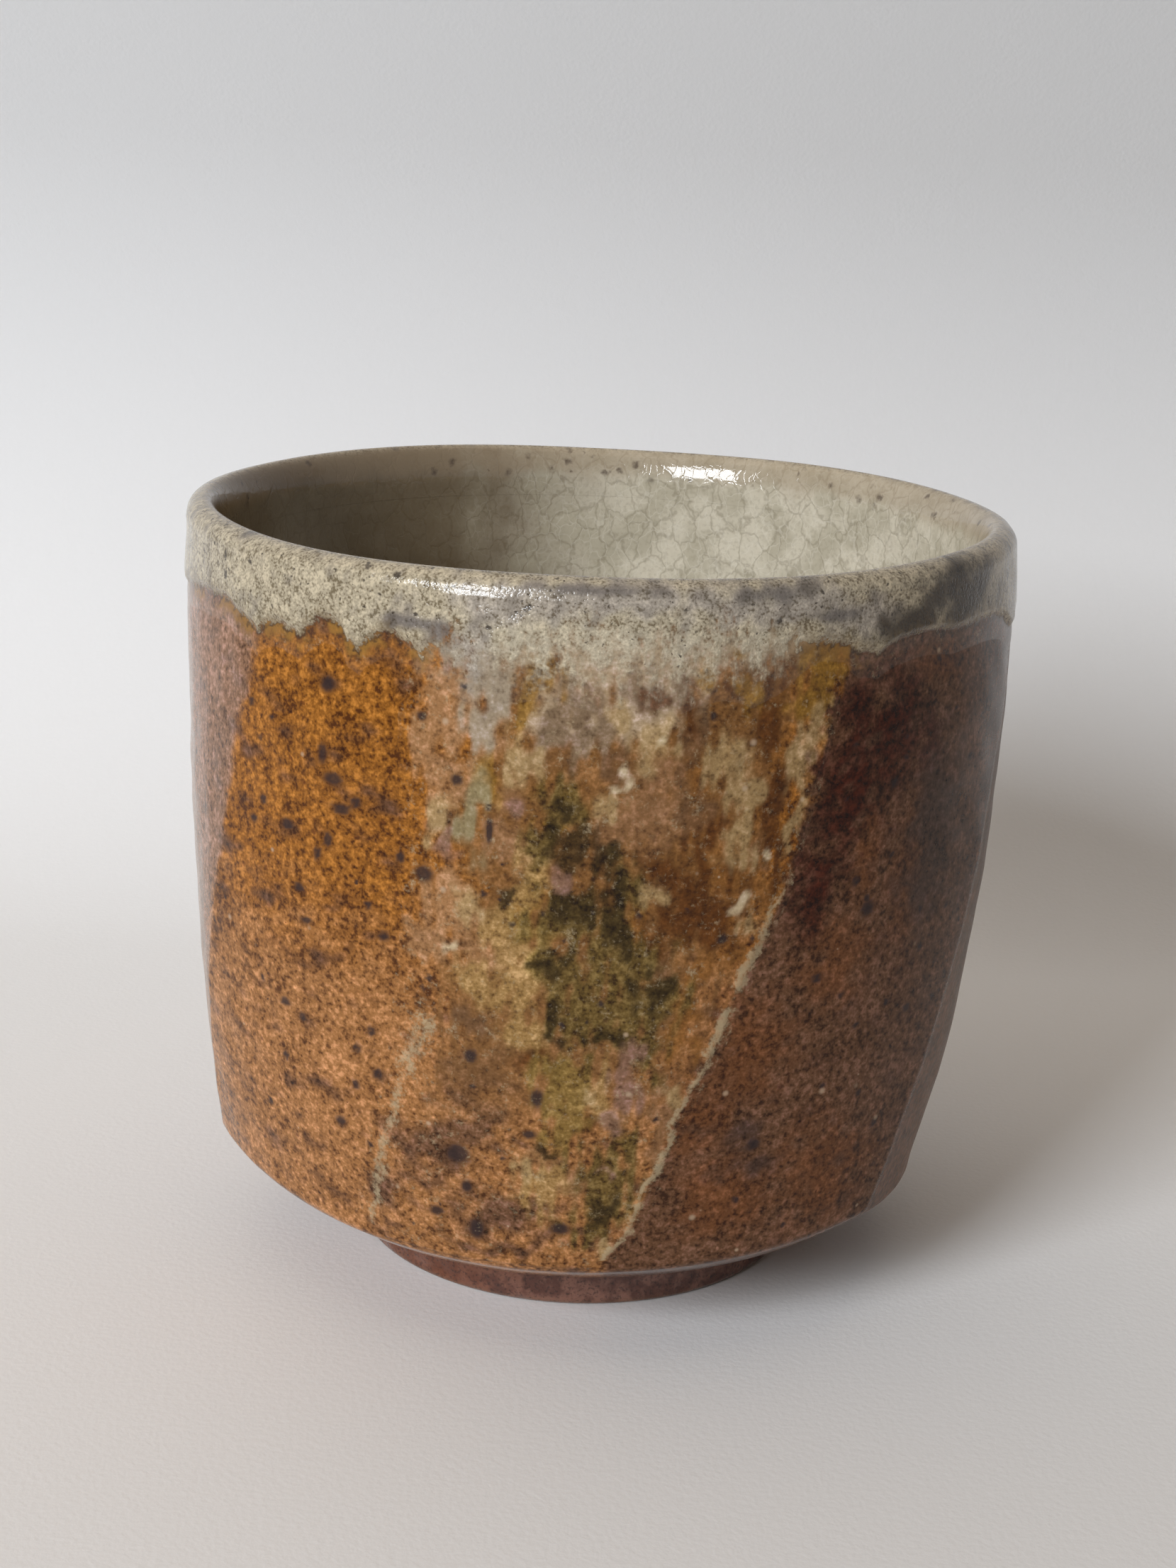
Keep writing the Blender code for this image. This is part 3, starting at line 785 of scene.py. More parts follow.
ASH_PATCHES = (
    (WASH, 0.9, (
        (-2, 92.6, 7, 5), (6, 92.8, 6, 4.6), (12, 94.4, 6, 3), (20, 96, 6, 2), (-8, 95, 5, 2.4),
        (-3, 87.5, 6, 3.6), (5, 88, 5, 3.4),
    )),
    (PEACH, 0.8, (
        (-17, 88, 4, 6), (-17.5, 80, 3, 4), (-12, 84, 2.5, 3), (-17, 63, 4, 5), (-12, 58, 4, 3),
        (-20, 60, 3, 3),
    )),
    (ROSE_TAN, 0.85, (
        (6, 76, 4.5, 5), (3, 73, 2.5, 3), (8, 80.5, 3, 2.5), (-9, 77, 2, 2.5), (-9, 71.5, 3, 3),
        (-3, 27, 5, 3), (11, 36, 2, 6),
    )),
    (GINGER, 0.85, (
        (12.5, 81, 2.5, 4), (13, 75, 3, 3), (16, 68.5, 2.5, 2.5), (18.6, 67, 2, 3), (17, 63.5, 2, 2),
        (6.5, 63, 2, 3), (17.5, 58, 2.6, 3), (13.5, 56, 2, 4), (12.5, 49, 2, 4), (22.8, 66, 1.4, 3),
    )),
    (MOCHA, 0.6, (
        (-3, 87, 2.2, 5), (0.6, 87, 1.4, 4.5), (3, 83.4, 2.4, 1.6), (-1, 90, 1.2, 2.5),
        (11.5, 86, 1.8, 5), (5, 91, 1.2, 2.5), (9.6, 91.5, 1.2, 2.5), (13.5, 77, 1.4, 4),
        (10.8, 78, 1.2, 5), (-14, 49, 2, 1.6), (9, 57, 2, 3),
    )),
    (RUST, 0.9, (
        (21, 86, 1.9, 5), (21.6, 78, 1.9, 6), (22.4, 72, 1.3, 5), (19.6, 90.5, 1.4, 2),
        (11.8, 92.6, 1.6, 1.2), (13, 66, 5, 5), (9, 69, 3, 3), (15, 62, 3.5, 3), (6.5, 90, 1.4, 2),
        (16.5, 91, 1, 1.6), (8, 60, 2.5, 3), (22, 93.6, 1.2, 1.2), (-5, 44, 3, 1.6), (1, 35, 2, 1.5),
        (11, 88.6, 1, 3), (14.6, 72, 1.6, 3),
    )),
    (HONEY, 0.9, (
        (28.4, 93, 3.4, 2.8), (24.6, 94, 1.8, 1.8), (26, 90, 2.6, 2), (-6.5, 92, 2, 3),
        (-7.5, 88, 1.6, 4), (13.8, 93.4, 1.8, 1.4), (18.2, 90, 1.4, 2.4), (17.6, 94.6, 0.9, 0.9),
        (-12, 79, 2.2, 3.5), (-6, 65, 2.4, 3.5), (-3.5, 74.8, 2, 1),
    )),
    (OCHRE, 0.85, (
        (-9, 60, 4, 5), (-8, 54, 3.4, 5), (-6.5, 67, 3, 5), (-8, 48, 3, 3), (2.4, 40, 2.6, 4),
        (-5, 25.5, 3.4, 3), (-13, 55, 3, 3), (4, 36, 2, 2),
    )),
    (MUSTARD, 0.85, (
        (-2, 43, 3.2, 3.4), (-2.6, 38, 3, 4), (-2, 34, 2.4, 3), (-6, 57, 2, 3), (-5.6, 62, 2, 3),
    )),
    (OLIVE, 0.95, (
        (-2.8, 77.5, 2.8, 3.4), (-6, 71.5, 2.4, 3), (3, 61, 4.4, 4), (-2.5, 62.5, 3.6, 2.8),
        (4.5, 66, 2.6, 3.6), (-1, 57, 4.6, 4), (5, 57, 5, 4.5), (7, 52, 5, 5), (1, 50, 5, 4.4),
        (5, 47.6, 5, 2.4), (9, 45, 2, 4), (-3.6, 52, 2, 4), (4, 28, 4.2, 4), (4.4, 24, 4.6, 4),
        (3.4, 20.6, 3.2, 2.6), (6.4, 32, 2, 3),
    )),
    (DARK_OLIVE, 0.85, (
        (-2, 72.5, 3.4, 3), (-1, 70, 2.6, 1.8), (2.5, 69, 2.6, 2), (3, 65, 2.4, 3.6), (-1, 64, 3, 1.9),
        (4.5, 61.5, 1.6, 2.2), (-4, 70.6, 1.5, 1.3), (-3, 76.5, 1.1, 1.8), (-3.2, 59, 1.6, 1),
        (-3.6, 55.8, 1.2, 1.6), (-3.4, 50.5, 1.6, 1.4), (3, 47.4, 2.6, 1.4), (-3.6, 47.6, 1.4, 1),
        (-6.6, 56.2, 1.4, 0.9), (8.4, 54, 2.4, 2.4), (4.2, 22.4, 2.4, 2.4), (-3.6, 31, 1.6, 1),
        (-9, 66, 1.2, 1.6),
    )),
    (MAUVE, 0.8, (
        (6.6, 43, 1.8, 3.4), (7, 39.6, 1.6, 2), (4.4, 35.6, 1.8, 2.4), (3.4, 28.4, 1, 0.8),
        (-2.8, 67.4, 1.6, 1.6), (-8, 76.6, 1.2, 1), (-15.8, 92.6, 1, 1), (-17, 71, 1.4, 2),
    )),
    (TAN_CREAM, 0.8, (
        (7.4, 84.8, 2.4, 2.6), (2.8, 87.8, 1.3, 2), (16, 83, 2.6, 3), (17.6, 78, 1.8, 3.5),
        (18.4, 73, 1.4, 3), (27, 86, 2, 3.2), (25.4, 82, 2, 3), (26.2, 77.5, 1, 3), (25.2, 73, 0.8, 2.5),
        (8, 66.3, 1.6, 1.6), (3, 78, 1.8, 2.5), (21, 62, 1.5, 2), (-6.8, 82.4, 2, 1.8),
        (-8.6, 80.8, 1.2, 1.2), (-14.5, 64.5, 1.8, 2.5), (-18.5, 74, 1.4, 2.6), (-17, 95.6, 1.2, 1.2),
        (-6.4, 27.4, 1.7, 1.8), (4.8, 17.4, 1.8, 1.2), (1, 40, 1.6, 1.6), (12, 39.4, 1.4, 1.4),
    )),
    (CREAM, 0.8, (
        (21, 70.8, 0.9, 0.8), (19, 64.8, 1, 0.9), (3.6, 81.4, 1.2, 0.7), (-16.6, 58.6, 1, 0.9),
        (8, 85.4, 0.8, 0.8),
    )),
    (CELADON, 0.8, (
        (-13, 77.5, 2, 2.6), (-14.4, 72.5, 1.6, 2.6),
    )),
    (SMEAR, 0.85, (
        (-11.5, 91, 2, 5), (-13, 86, 2, 3), (-14, 94.5, 4, 2),
    )),
)


def ash_colours(angle, z):
    """Colour of the ash by angle and height in mm: the kiln colours under a brown wash, then patches of each
    ash colour left of the pale line, each where its dabs plus ragged, streaked noise pass a level."""
    noise = ripple(on_wall(angle, z), ASH_RIPPLES) + ripple(on_wall(angle, STREAK_SHARE * z), STREAK_RIPPLES)
    left = smooth_step(past_line(angle, z), 0.6, -0.6)
    colours = kiln_colours(angle, z)
    u, z = drifted(angle, z)
    wash = smooth_step(run_inside(u, z) + 2 * noise, 0, 7) * smooth_step(z, 26, 48)
    colours = lay(colours, 0.8 * left * wash, ASH_BASE)
    for glaze, cover, marks in ASH_PATCHES:
        near = dabs(u, z, marks)
        ragged = smooth_step(near + ASH_RAGGED * noise, ASH_LEVEL - ASH_EDGE, ASH_LEVEL + ASH_EDGE)
        colours = lay(colours, left * cover * smooth_step(near, 0.02, 0.25) * ragged, glaze)
    return colours


BEAD_RIPPLES = ((0.3, 5.0, 33), (0.15, 1.6, 38))


def bead_share(angle, z):
    """Share of the pale lines by angle and height in mm: a bell of the distance to each line, wide or faint
    by height, and broken where the right one parts."""
    wobble = ripple(on_wall(angle, z), BEAD_RIPPLES)
    u = across(angle) + wobble
    width = np.interp(z, (16, 22, 40, 46, 58, 64, 90), (0.8, 0.45, 0.5, 0.9, 0.8, 0.45, 0.5))
    heights = (16, 40, 50.5, 51.2, 52.6, 53.4, 58, 63, 68, 76)
    strength = np.interp(z, heights, (0.9, 0.7, 0.9, 0.1, 0.1, 0.95, 0.95, 0.6, 0.45, 0.0))
    right = strength * np.exp(-(((past_line(angle, z) + wobble) / width) ** 2))
    low = np.interp(z, (16, 21, 30, 34, 38, 41, 47), (-31.5, -30, -27.5, -25.5, -24.4, -23.4, -20.2))
    spread = np.interp(z, (20, 36, 42, 48), (0.8, 0.8, 1.4, 1.8))
    left = 0.6 * smooth_step(z, 52, 46) * np.exp(-(((u - low) / spread) ** 2))
    return np.maximum(right, left)


def make_ash_skin():
    """The kiln skin with the pale lines over it, and a relief of small scales as well as grain."""
    tree = new_skin("ash_skin")
    below = node(tree, "ShaderNodeGroup", node_tree=kiln_skin)
    where = millimetres(tree, shift=7)
    fine = grain(tree, where, 0.40, 2.0, 0.6)
    mottle = grain(tree, where, 1.5, 4.0, 0.65)
    bead = patchy(tree, field(tree, "bead"), mixed(tree, mottle, fine, 0.4), spread=3.4, edge=0.40)
    pale = over(tree, mottle, fired(150, 124, 90), fired(196, 180, 146))
    colour = tint(tree, below.outputs["Color"], bead, 0.75, pale)
    scales = node(tree, "ShaderNodeTexVoronoi", {"Vector": where, "Scale": 0.9}, feature="SMOOTH_F1")
    height = mixed(tree, mixed(tree, fine, mottle, 0.5), scales.outputs["Distance"], 0.4)
    return given(tree, colour, below.outputs["Roughness"], height)


def run_grids():
    """Outer and inner side of the tongue, and its angles and heights, on a grid from the lower edge to under
    the lip coat. The outer side sinks below the wall along its border, so the ash thins out to nothing."""
    side = np.linspace(0, 1, RUN_COLUMNS)[None, :]
    rise = np.linspace(0, 1, RUN_ROWS)[:, None]
    z = EDGE_HEIGHT - RUN_DIP + rise * (RUN_TOP - EDGE_HEIGHT)
    left = run_left(1000 * z) - RUN_MARGIN
    right = line_across(1000 * z) + RUN_MARGIN * 0.6
    angle = (left + side * (right - left)) / MEAN_RADIUS - math.pi / 2
    low = lower_edge(lambda height: angle) + EDGE_ROUNDING * 0.6
    z = low + rise * (RUN_TOP - low)
    border = np.minimum(np.minimum(side, 1 - side) / SIDE_BORDER, np.minimum(rise, 1 - rise) / END_BORDER)
    sink = RUN_SINK * (1 - smooth_step(border, 0.0, 1.0))
    wall = wall_radius(angle, z)
    outer = place(angle, wall + run_depth(angle, z) + RUN_FLOOR - sink, z)
    return outer, place(angle, wall - RUN_BACK, z), angle, z


def add_slab(name, outer, inner, fields, material):
    """Closed slab from two grids of equal shape: both sides, and a strip round their common border."""
    rows, columns, _ = outer.shape
    corner = np.arange(rows * columns).reshape(rows, columns)
    face = np.stack([corner[:-1, :-1], corner[:-1, 1:], corner[1:, 1:], corner[1:, :-1]], -1).reshape(-1, 4)
    border = np.concatenate([corner[0, :-1], corner[:-1, -1], corner[-1, :0:-1], corner[:0:-1, 0]])
    after = np.roll(border, -1)
    strip = np.stack([border + corner.size, after + corner.size, after, border], -1)
    vertices = np.concatenate([outer.reshape(-1, 3), inner.reshape(-1, 3)])
    fields = {n: np.concatenate([f, f]) for n, f in fields.items()}
    return add_piece(name, vertices, [face, face[:, ::-1] + corner.size, strip], fields, material)


ash_skin = make_ash_skin()
run_outer, run_inner, run_angle, run_z = run_grids()
run_fields = {
    "glaze": ash_colours(run_angle, 1000 * run_z),
    "iron": dabs(across(run_angle), 1000 * run_z, IRON_SPOTS),
    "bead": bead_share(run_angle, 1000 * run_z),
}
melted_ash = skin_material("melted_wood_ash", ash_skin, relief=0.00005, gloss=0.2)
ash_run_coat = add_slab("ash_run_coat", run_outer, run_inner, run_fields, melted_ash)
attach(ash_run_coat, "root")
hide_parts("ash_run")

# Lip coat. The rim was dipped upside down in a thick pale glaze, which ran back over the lip and froze in a
# ragged, scalloped edge outside. It is putty grey with an orange-peel grain, dark iron specks and lavender.

LIP_COAT = 0.0005
LIP_REACH = 0.0042
SMEAR_REACH = 0.0035
FILM_FADE = 0.0030
LIP_WAVER = 0.00035
LIP_CURL = 0.006
LINER_STEP = 0.00002
LIP_FILM = RUN_FLOOR + 0.00005
LIP_SINK = 0.00015
LINER_TUCK = 0.001
TUCK_SHARES = (0.25, 0.5, 0.75, 0.98, 1.0)
DEPTH_INSIDE, DEPTH_OUTSIDE = 0.0004, 0.0005
LIP_COLUMNS = 720
LIP_ROWS, CREST_ROWS, HIDDEN_ROWS = 60, 33, 5
INSIDE_FADE = (0.0004, -0.0014)
SMEAR_LEFT, SMEAR_RIGHT = (-23, -15), (28, 20)
CREST_BEATS = ((0.6, 2, 0.8), (0.4, 5, 2.0))
BACK_BEATS = ((0.8, 9, 0), (0.7, 17, 1), (0.5, 29, 0))
BACK_LINE = 93.8
FRONT_ENDS = (62, 72)
SCALLOPS = (
    (-70, 94.6), (-60, 95.4), (-53, 95.6), (-50, 94.6), (-47, 93.8), (-45, 92.9), (-43.5, 94.2),
    (-41.5, 94.8), (-39.5, 94.4), (-37.5, 93.8), (-35.8, 95.2), (-33.5, 96.6), (-31.5, 95.9),
    (-30.4, 94.2), (-28.6, 93.4), (-27, 95.0), (-24.6, 96.2), (-22.6, 95.0), (-20.3, 94.2), (-18, 95.4),
    (-12, 93.6), (-6, 95.6), (0, 94.6), (5, 95.2), (10, 94.6), (15, 96.0), (18.5, 95.0), (22, 96.0),
    (26, 96.6), (30, 96.2), (33, 94.8), (36, 94.4), (40, 95.8), (44, 96.2), (50, 95.6), (57, 95.8),
    (64, 95.2), (72, 93.6),
)


def beats(angle, parts, start=0.0):
    """A start plus a sum of cosines, each given as its height, its count round the bowl and its shift."""
    return sum((height * np.cos(count * angle + shift) for height, count, shift in parts), start)


def lip_line(angle):
    """Height of the pale coat's lower edge, in mm: arches between measured marks at the front, round
    above and pointed below, and scallops of three wavelengths round the back."""
    marks, heights = np.array(SCALLOPS).T
    u = across(angle)
    index = np.clip(np.searchsorted(marks, u, side="right") - 1, 0, len(marks) - 2)
    turn = math.pi / 2 * np.clip((u - marks[index]) / (marks[index + 1] - marks[index]), 0, 1)
    climb = heights[index + 1] - heights[index]
    front = heights[index] + climb * np.where(climb > 0, np.sin(turn), 1 - np.cos(turn))
    back = beats(angle, BACK_BEATS, BACK_LINE)
    return front + smooth_step(np.abs(u), *FRONT_ENDS) * (back - front)


def lip_depth(angle, z):
    """Thickness of the coat over the wall, in metres: full 1 mm above its edge and a bare film below; the
    step is spread over a few mm in the middle of the front."""
    rise = 1000 * z - lip_line(angle)
    fade = lip_fade(angle)
    return LIP_FILM + LIP_COAT * smooth_step(rise, -0.25 - 2.5 * fade, 1.0 + 1.5 * fade)


def lip_fade(angle):
    """How far the edge is smeared into streaks: 1 in the middle of the front, 0 at both sides."""
    u = across(angle)
    return smooth_step(u, *SMEAR_LEFT) * smooth_step(u, *SMEAR_RIGHT)


def front_columns():
    """Angles round the bowl, crowded by a sine towards the front."""
    turn = math.tau * (np.arange(LIP_COLUMNS) / LIP_COLUMNS - 0.5)
    return turn - 0.5 * np.sin(turn) - math.pi / 2


def lip_points(angle):
    """Section carried round the rim: up the outside from below the ragged edge, over the lip and down the
    inside by a short and a long quarter of an ellipse, and back through the clay. The crest's height wavers
    by two slow waves."""
    waver = LIP_WAVER * beats(angle, CREST_BEATS)
    low = lip_line(angle) / 1000 - LIP_REACH - SMEAR_REACH * lip_fade(angle)
    rows = []
    for share in np.linspace(0, 1, LIP_ROWS):
        z = low + share * (WALL_TOP - low)
        sink = LIP_SINK * (1 - smooth_step(z - low, 0.0, FILM_FADE))
        radius = wall_radius(angle, z) + run_depth(angle, z) + lip_depth(angle, z) - sink
        rows.append(place(angle, radius, z + share**4 * waver))
    outer = wall_radius(angle, WALL_TOP) + lip_depth(angle, WALL_TOP + 0 * angle)
    crest = WALL_TOP + LIP_RADIUS + COAT_STAND
    curl_end = crest - LIP_CURL
    inner = inner_radius(curl_end) - COAT_STAND - LINER_STEP
    for turn in np.linspace(0, math.pi, CREST_ROWS)[1:]:
        radius = (outer + inner) / 2 + (outer - inner) / 2 * math.cos(turn)
        drop = (crest - WALL_TOP if turn < math.pi / 2 else LIP_CURL) * (1 - math.sin(turn))
        rows.append(place(angle, radius, crest - drop + waver * (1 - drop / LIP_CURL)))
    for share in TUCK_SHARES:
        z = curl_end - share * (curl_end - LINER_TOP + LINER_TUCK)
        rows.append(place(angle, inner_radius(z) - COAT_STAND - LINER_STEP, z))
    for share in np.linspace(0, 1, HIDDEN_ROWS):
        rows.append(place(angle, inner_radius(z) + DEPTH_INSIDE, z + share * (WALL_TOP - z)))
    for share in np.linspace(0, 1, HIDDEN_ROWS):
        z = WALL_TOP + share * (low - WALL_TOP)
        rows.append(place(angle, wall_radius(angle, z) - DEPTH_OUTSIDE, z))
    return np.stack(rows)


PUTTY, LAVENDER, GREY_GREEN = fired(174, 162, 138, 1.6), fired(164, 154, 141, 1.3), fired(186, 175, 152, 1.0)
# The drab brown is mostly painted shade on the right of the lip; the coat itself is only a little darker
# there.
DRAB_SHADE, SLATE = fired(64, 51, 34, 1.2), fired(116, 108, 101, 0.9)
LIP_RIPPLES = ((0.6, 5.0, 41), (0.4, 2.0, 42))
LIP_PATCHES = (
    (GREY_GREEN, 0.45, (
        (4, 96, 12, 4), (18, 96.5, 9, 3), (-8, 96, 6, 3), (-6, 91, 5, 4), (4, 91, 8, 3),
    )),
    (LAVENDER, 0.4, (
        (-10, 101, 9, 2.4), (4, 102, 14, 2.0), (22, 101, 12, 2.6), (34, 99, 6, 2.6), (-14, 93, 3, 5),
    )),
    (SLATE, 0.48, (
        (-22, 97.6, 4.5, 1.0), (-18, 97, 1.6, 1.6), (20, 102.6, 4, 1.2), (28, 99.6, 5, 0.9),
        (-1, 103, 8, 0.7),
    )),
    # Painted shade: drab brown over the right of the lip and round the back, darker than the putty's own
    # colour.
    (DRAB_SHADE, 0.45, (
        (51, 99.5, 10, 5.5), (41, 97.6, 7, 2.6), (110, 99, 20, 5),
    )),
)


def lip_colours(angle, z):
    """Colour of the lip coat by angle and height in mm: putty under patches with ragged edges."""
    points = on_wall(angle, z)
    colours = np.broadcast_to(PUTTY, points.shape[:-1] + (4,))
    return lay_patches(colours, LIP_PATCHES, across(angle), z, ripple(points, LIP_RIPPLES))


def make_putty_skin():
    """Lip coat over ash and kiln skin: grainy paint with iron specks, thin and brown along its lower edge,
    which has a broken dark line and a honey fringe, or is smeared into streaks; inside, the liner's skin."""
    tree = new_skin("putty_skin")
    below = node(tree, "ShaderNodeGroup", node_tree=ash_skin)
    inside = node(tree, "ShaderNodeGroup", node_tree=liner_skin)
    where = millimetres(tree, shift=41)
    fine = grain(tree, where, 0.32, 1.5)
    mottle = grain(tree, where, 0.9)
    cloud = grain(tree, where, 3.0)
    streak = grain(tree, millimetres(tree, stretch=(1, 1, 3.5), shift=3), 1.6, 3.0, 0.6)
    paint = node(tree, "ShaderNodeAttribute", attribute_name="lip_glaze")
    tone = stir(tree, ((fine, 1.5), (mottle, 1.2), (cloud, 0.6)), paint.outputs["Alpha"])
    dark = ramp(tree, tone, 0.0, -0.55)
    light = ramp(tree, tone, 0.0, 0.55)
    colour = toned(tree, paint.outputs["Color"], dark, 0.42, 0.38, 0.31)
    colour = toned(tree, colour, light, 1.45, 1.45, 1.45)
    wobble = pushed(tree, where, scale=1.6, push=1.0)
    spot = specks(tree, wobble, spacing=0.9, radius=0.28, kept=0.45, softness=0.6)
    large = specks(tree, wobble, spacing=3.8, radius=0.75, kept=0.5, softness=0.5)
    colour = tint(tree, colour, calc(tree, "MAXIMUM", spot, large), 0.85, fired(50, 40, 31))
    smear = field(tree, "smear")
    sharp = calc(tree, "SUBTRACT", 1.0, smear)
    push = stir(tree, ((mottle, 2.2), (fine, 0.8)))
    drip = times(tree, stir(tree, ((streak, 14.0), (mottle, 8.0))), smear)
    rise = calc(tree, "ADD", field(tree, "lip"), calc(tree, "ADD", push, drip))
    thin = times(tree, ramp(tree, rise, 2.4, 0.1), ramp(tree, mottle, 0.40, 0.62, 0.1, 0.7))
    colour = over(tree, times(tree, thin, sharp), colour, fired(112, 90, 52))
    share = mixed(tree, ramp(tree, rise, -0.25, 0.35), ramp(tree, rise, -4.5, 4.0), smear)
    pooled = over(tree, ramp(tree, cloud, 0.44, 0.56), fired(78, 44, 14), fired(146, 104, 38))
    fringe = times(tree, ramp(tree, rise, -2.8, -0.4), ramp(tree, cloud, 0.38, 0.60, 0.35, 0.95))
    fringe = times(tree, fringe, field(tree, "honey"))
    under = over(tree, times(tree, fringe, sharp), below.outputs["Color"], pooled)
    line = times(tree, ramp(tree, rise, -0.9, -0.2), ramp(tree, mottle, 0.38, 0.62, 0.15, 0.8))
    under = over(tree, times(tree, line, sharp), under, fired(56, 34, 14))
    colour = over(tree, share, under, colour)
    lined = field(tree, "inside")
    colour = over(tree, lined, colour, inside.outputs["Color"])
    rough = mixed(tree, below.outputs["Roughness"], ramp(tree, fine, 0.3, 0.7, 0.08, 0.20), share)
    rough = mixed(tree, rough, inside.outputs["Roughness"], lined)
    film = times(tree, below.outputs["Height"], 0.32)
    lining = times(tree, inside.outputs["Height"], 0.38)
    height = mixed(tree, mixed(tree, film, mixed(tree, fine, mottle, 0.5), share), lining, lined)
    return given(tree, colour, rough, height)


lip_grid = lip_points(front_columns())
lip_angles = angles_of(lip_grid)
lip_radius = np.hypot(lip_grid[..., 0], lip_grid[..., 1])
lip_heights = 1000 * lip_grid[..., 2]
lip_fields = {
    "glaze": ash_colours(lip_angles, lip_heights),
    "iron": dabs(across(lip_angles), lip_heights, IRON_SPOTS),
    "bead": bead_share(lip_angles, lip_heights),
    "satin": satin_share(lip_angles, lip_heights),
    "lip_glaze": lip_colours(lip_angles, lip_heights),
    "lip": lip_heights - lip_line(lip_angles),
    "smear": lip_fade(lip_angles),
    "honey": smooth_step(past_line(lip_angles, lip_heights), 6, 0),
    "inside": smooth_step(lip_radius - RIM_RADIUS + LIP_RADIUS, *INSIDE_FADE),
    "tan_band": tan_band(lip_grid[..., 2]),
    "painted_shade": liner_painted_shade(lip_angles),
}
putty_glaze = skin_material("putty_lip_glaze", make_putty_skin(), relief=0.00013, gloss=0.5)
lip_coat = add_shell("lip_coat", lip_grid, lip_fields, putty_glaze, tube=True)
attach(lip_coat, "root")
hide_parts("lip_glaze")

# Studio. A plain pale sheet of paper lies under the bowl and curves up close behind it. It is clear from
# behind and far off, so that the bowl can be seen from the back too. Daylight comes from a window to the
# left of the camera, and the ceiling and the room give a little warm light.

FLOOR_REACH = 3.0
BEND_START = 0.10
BEND_RADIUS = 0.10
BEND_END = 0.50
SHEET_TOP = 0.26
PAPER_GREYS_BY = 160
TOWARDS_WINDOW = (-0.59, -0.81, 0.0)
PAPER_DARKENS = (170, 480)
PAPER_FADES = (380, 640)
PAPER_LOW, PAPER_HIGH, PAPER_DARK = fired(242, 242, 242), fired(228, 229, 230), fired(140, 140, 140)
BEND_ROWS = 30
LAMPS_AIM = Vector((0, 0, 0.05))
ROOM_TINT, ROOM_STRENGTH = (1.0, 0.74, 0.50, 1.0), 0.07
SEEN_TINT, SEEN_STRENGTH = (0.92, 0.92, 0.91, 1.0), 0.60


def paper_material(name):
    """Matt paper whose colour is painted shade: it greys upwards, and darkens towards the window so that it
    looks evenly lit; it fades out far from the bowl, its back is clear, and it throws no shadow."""
    material = bpy.data.materials.new(name)
    material.use_nodes = True
    tree = material.node_tree
    surface = tree.nodes["Principled BSDF"]
    where = millimetres(tree)
    height = node(tree, "ShaderNodeSeparateXYZ", {0: where}).outputs[2]
    # Painted shade: the paper greys upwards and darkens towards the window.
    colour = over(tree, ramp(tree, height, 0.0, PAPER_GREYS_BY), PAPER_LOW, PAPER_HIGH)
    nearer = node(tree, "ShaderNodeVectorMath", {0: where, 1: TOWARDS_WINDOW}, operation="DOT_PRODUCT")
    colour = over(tree, ramp(tree, nearer.outputs["Value"], *PAPER_DARKENS), colour, PAPER_DARK)
    tree.links.new(colour, surface.inputs["Base Color"])
    surface.inputs["Roughness"].default_value = 0.9
    surface.inputs["Specular IOR Level"].default_value = 0.2
    tooth = grain(tree, where, 0.9)
    bump = node(tree, "ShaderNodeBump", {"Height": tooth, "Distance": 0.00005, "Strength": 1.0})
    tree.links.new(bump.outputs["Normal"], surface.inputs["Normal"])
    clear = node(tree, "ShaderNodeBsdfTransparent").outputs[0]
    behind = node(tree, "ShaderNodeNewGeometry").outputs["Backfacing"]
    shadow = node(tree, "ShaderNodeLightPath").outputs["Is Shadow Ray"]
    away = node(tree, "ShaderNodeVectorMath", {0: where}, operation="LENGTH").outputs["Value"]
    unseen = calc(tree, "MAXIMUM", calc(tree, "MAXIMUM", behind, shadow), ramp(tree, away, *PAPER_FADES))
    shown = node(tree, "ShaderNodeMixShader", {0: unseen, 1: surface.outputs[0], 2: clear})
    tree.links.new(shown.outputs[0], tree.nodes["Material Output"].inputs["Surface"])
    return material


def add_sheet(name, path, material):
    """Wide sheet whose path in the middle plane is given as y, z pairs."""
    sides = np.array([-FLOOR_REACH, FLOOR_REACH])
    y, z = (np.repeat(values[:, None], 2, 1) for values in path.T)
    grid = np.stack([np.broadcast_to(sides, y.shape), y, z], -1)
    corner = np.arange(2 * len(path)).reshape(-1, 2)
    quads = np.stack([corner[:-1, 0], corner[:-1, 1], corner[1:, 1], corner[1:, 0]], -1)
    return add_piece(name, grid.reshape(-1, 3), [quads], {}, material)


bend_turn = np.linspace(-math.pi / 2, BEND_END, BEND_ROWS)
bend_y = BEND_START + BEND_RADIUS * np.cos(bend_turn)
bend_z = BEND_RADIUS + BEND_RADIUS * np.sin(bend_turn)
lean = (SHEET_TOP - bend_z[-1]) * math.tan(BEND_END)
sheet_path = np.array([[-FLOOR_REACH, 0.0], *zip(bend_y, bend_z), [bend_y[-1] - lean, SHEET_TOP]])
pale_paper = paper_material("pale_paper")
add_sheet("paper_sweep", sheet_path, pale_paper)
add_sheet("floor_behind", np.array([[BEND_START, 0.0], [FLOOR_REACH, 0.0]]), pale_paper)


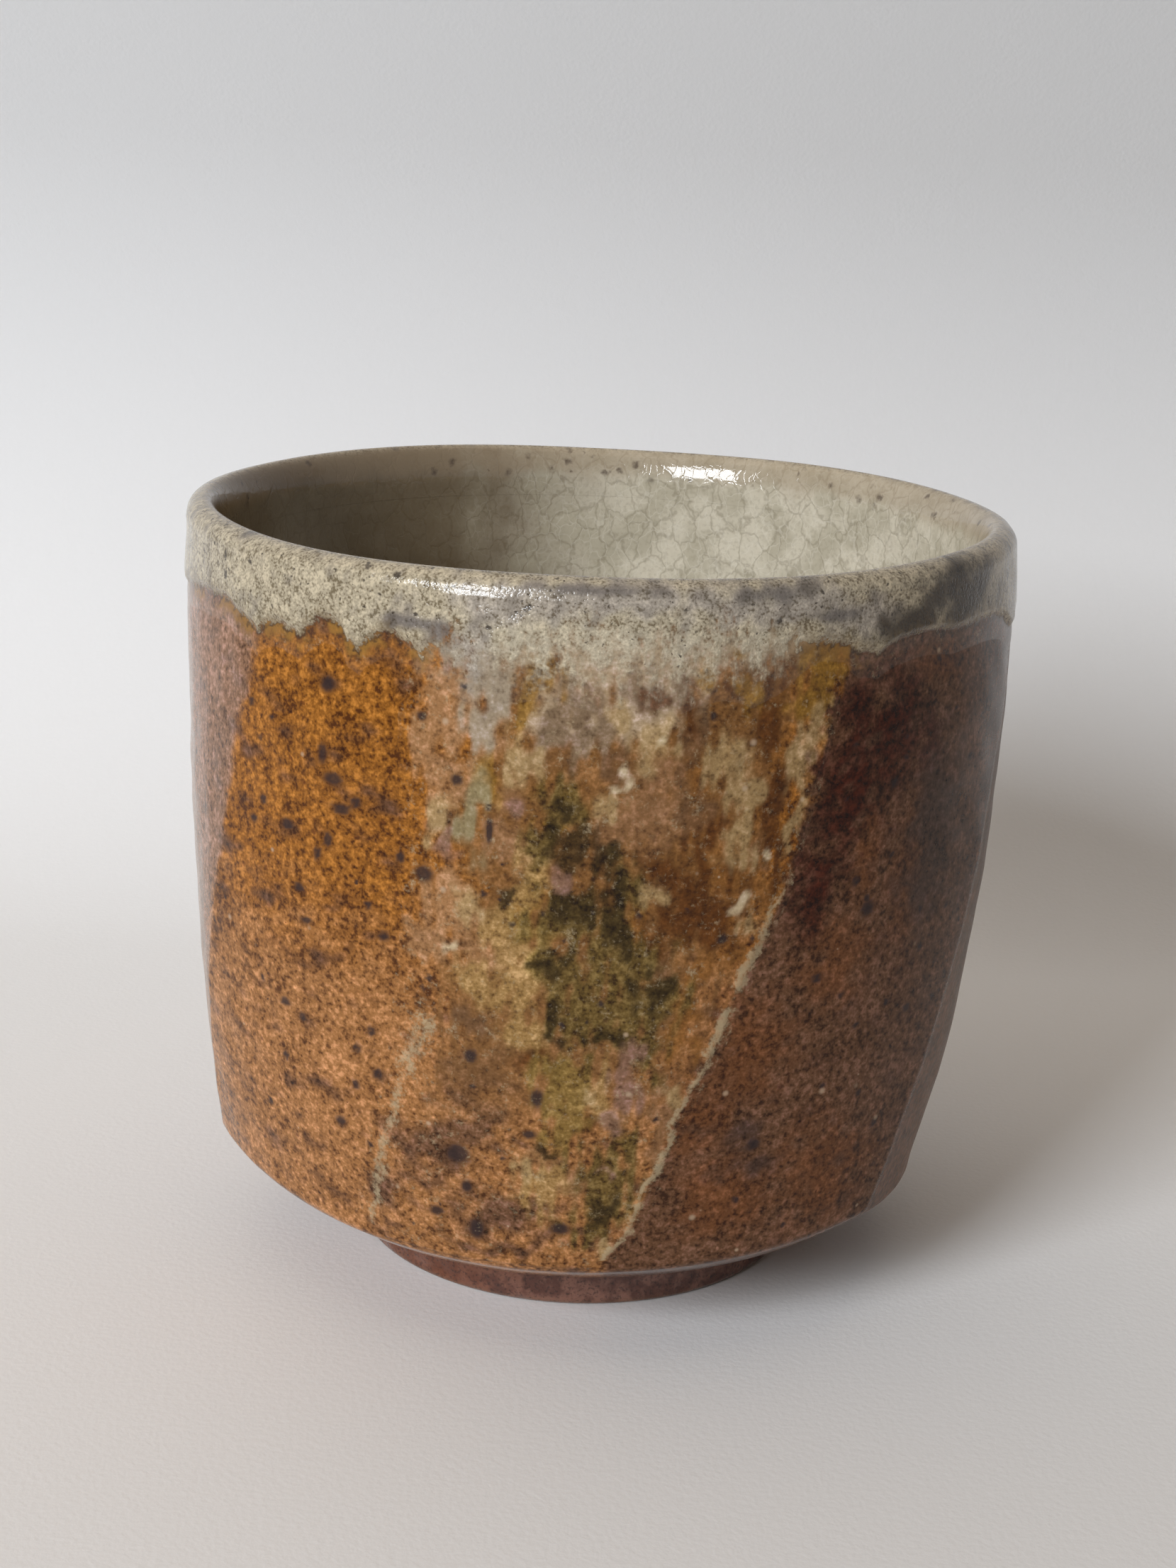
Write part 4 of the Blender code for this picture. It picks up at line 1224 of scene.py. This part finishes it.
def add_softbox(name, place_at, size, energy, colour):
    """Rectangular lamp at a place in metres, aimed at the bowl's middle."""
    lamp = bpy.data.objects.new(name, bpy.data.lights.new(name, "AREA"))
    lamp.data.shape = "RECTANGLE"
    lamp.data.size, lamp.data.size_y = size
    lamp.data.energy, lamp.data.color = energy, colour
    lamp.location = place_at
    lamp.rotation_euler = (LAMPS_AIM - lamp.location).to_track_quat("-Z", "Y").to_euler()
    bpy.context.scene.collection.objects.link(lamp)


add_softbox(
    "window", place_at=(-0.725, -0.998, 0.65), size=(0.50, 0.54), energy=15.6, colour=(0.965, 1.0, 1.045)
)
add_softbox("ceiling", place_at=(-0.2, 0.1, 1.25), size=(1.3, 1.3), energy=3.3, colour=(1.0, 0.79, 0.56))

world = bpy.data.worlds.new("pale_room")
world.use_nodes = True
room = world.node_tree
ray = node(room, "ShaderNodeLightPath").outputs
seen = calc(room, "MAXIMUM", ray["Is Camera Ray"], ray["Is Glossy Ray"])
seen = calc(room, "MAXIMUM", seen, ray["Is Transmission Ray"])
room_colour = over(room, seen, ROOM_TINT, SEEN_TINT)
room_light = ramp(room, seen, 0.0, 1.0, ROOM_STRENGTH, SEEN_STRENGTH)
room.links.new(room_colour, room.nodes["Background"].inputs["Color"])
room.links.new(room_light, room.nodes["Background"].inputs["Strength"])
bpy.context.scene.world = world

# Camera. It stands as high as one and a half bowls, a third of a metre in front, and looks slightly down.

CAMERA_PLACE = (-0.00034, -0.3171, 0.1556)
CAMERA_PITCH = math.radians(73.92)
CAMERA_ROLL = math.radians(2.21)
CAMERA_LENS = 54.06
CAMERA_CLIP = 0.01

camera = bpy.data.objects.new("camera", bpy.data.cameras.new("camera"))
camera.data.lens = CAMERA_LENS
camera.data.clip_start = CAMERA_CLIP
pitch = Matrix.Rotation(CAMERA_PITCH, 4, "X")
roll = Matrix.Rotation(CAMERA_ROLL, 4, "Z")
camera.matrix_world = Matrix.Translation(CAMERA_PLACE) @ pitch @ roll
bpy.context.scene.collection.objects.link(camera)
bpy.context.scene.camera = camera
bpy.context.scene.view_settings.view_transform = "Standard"
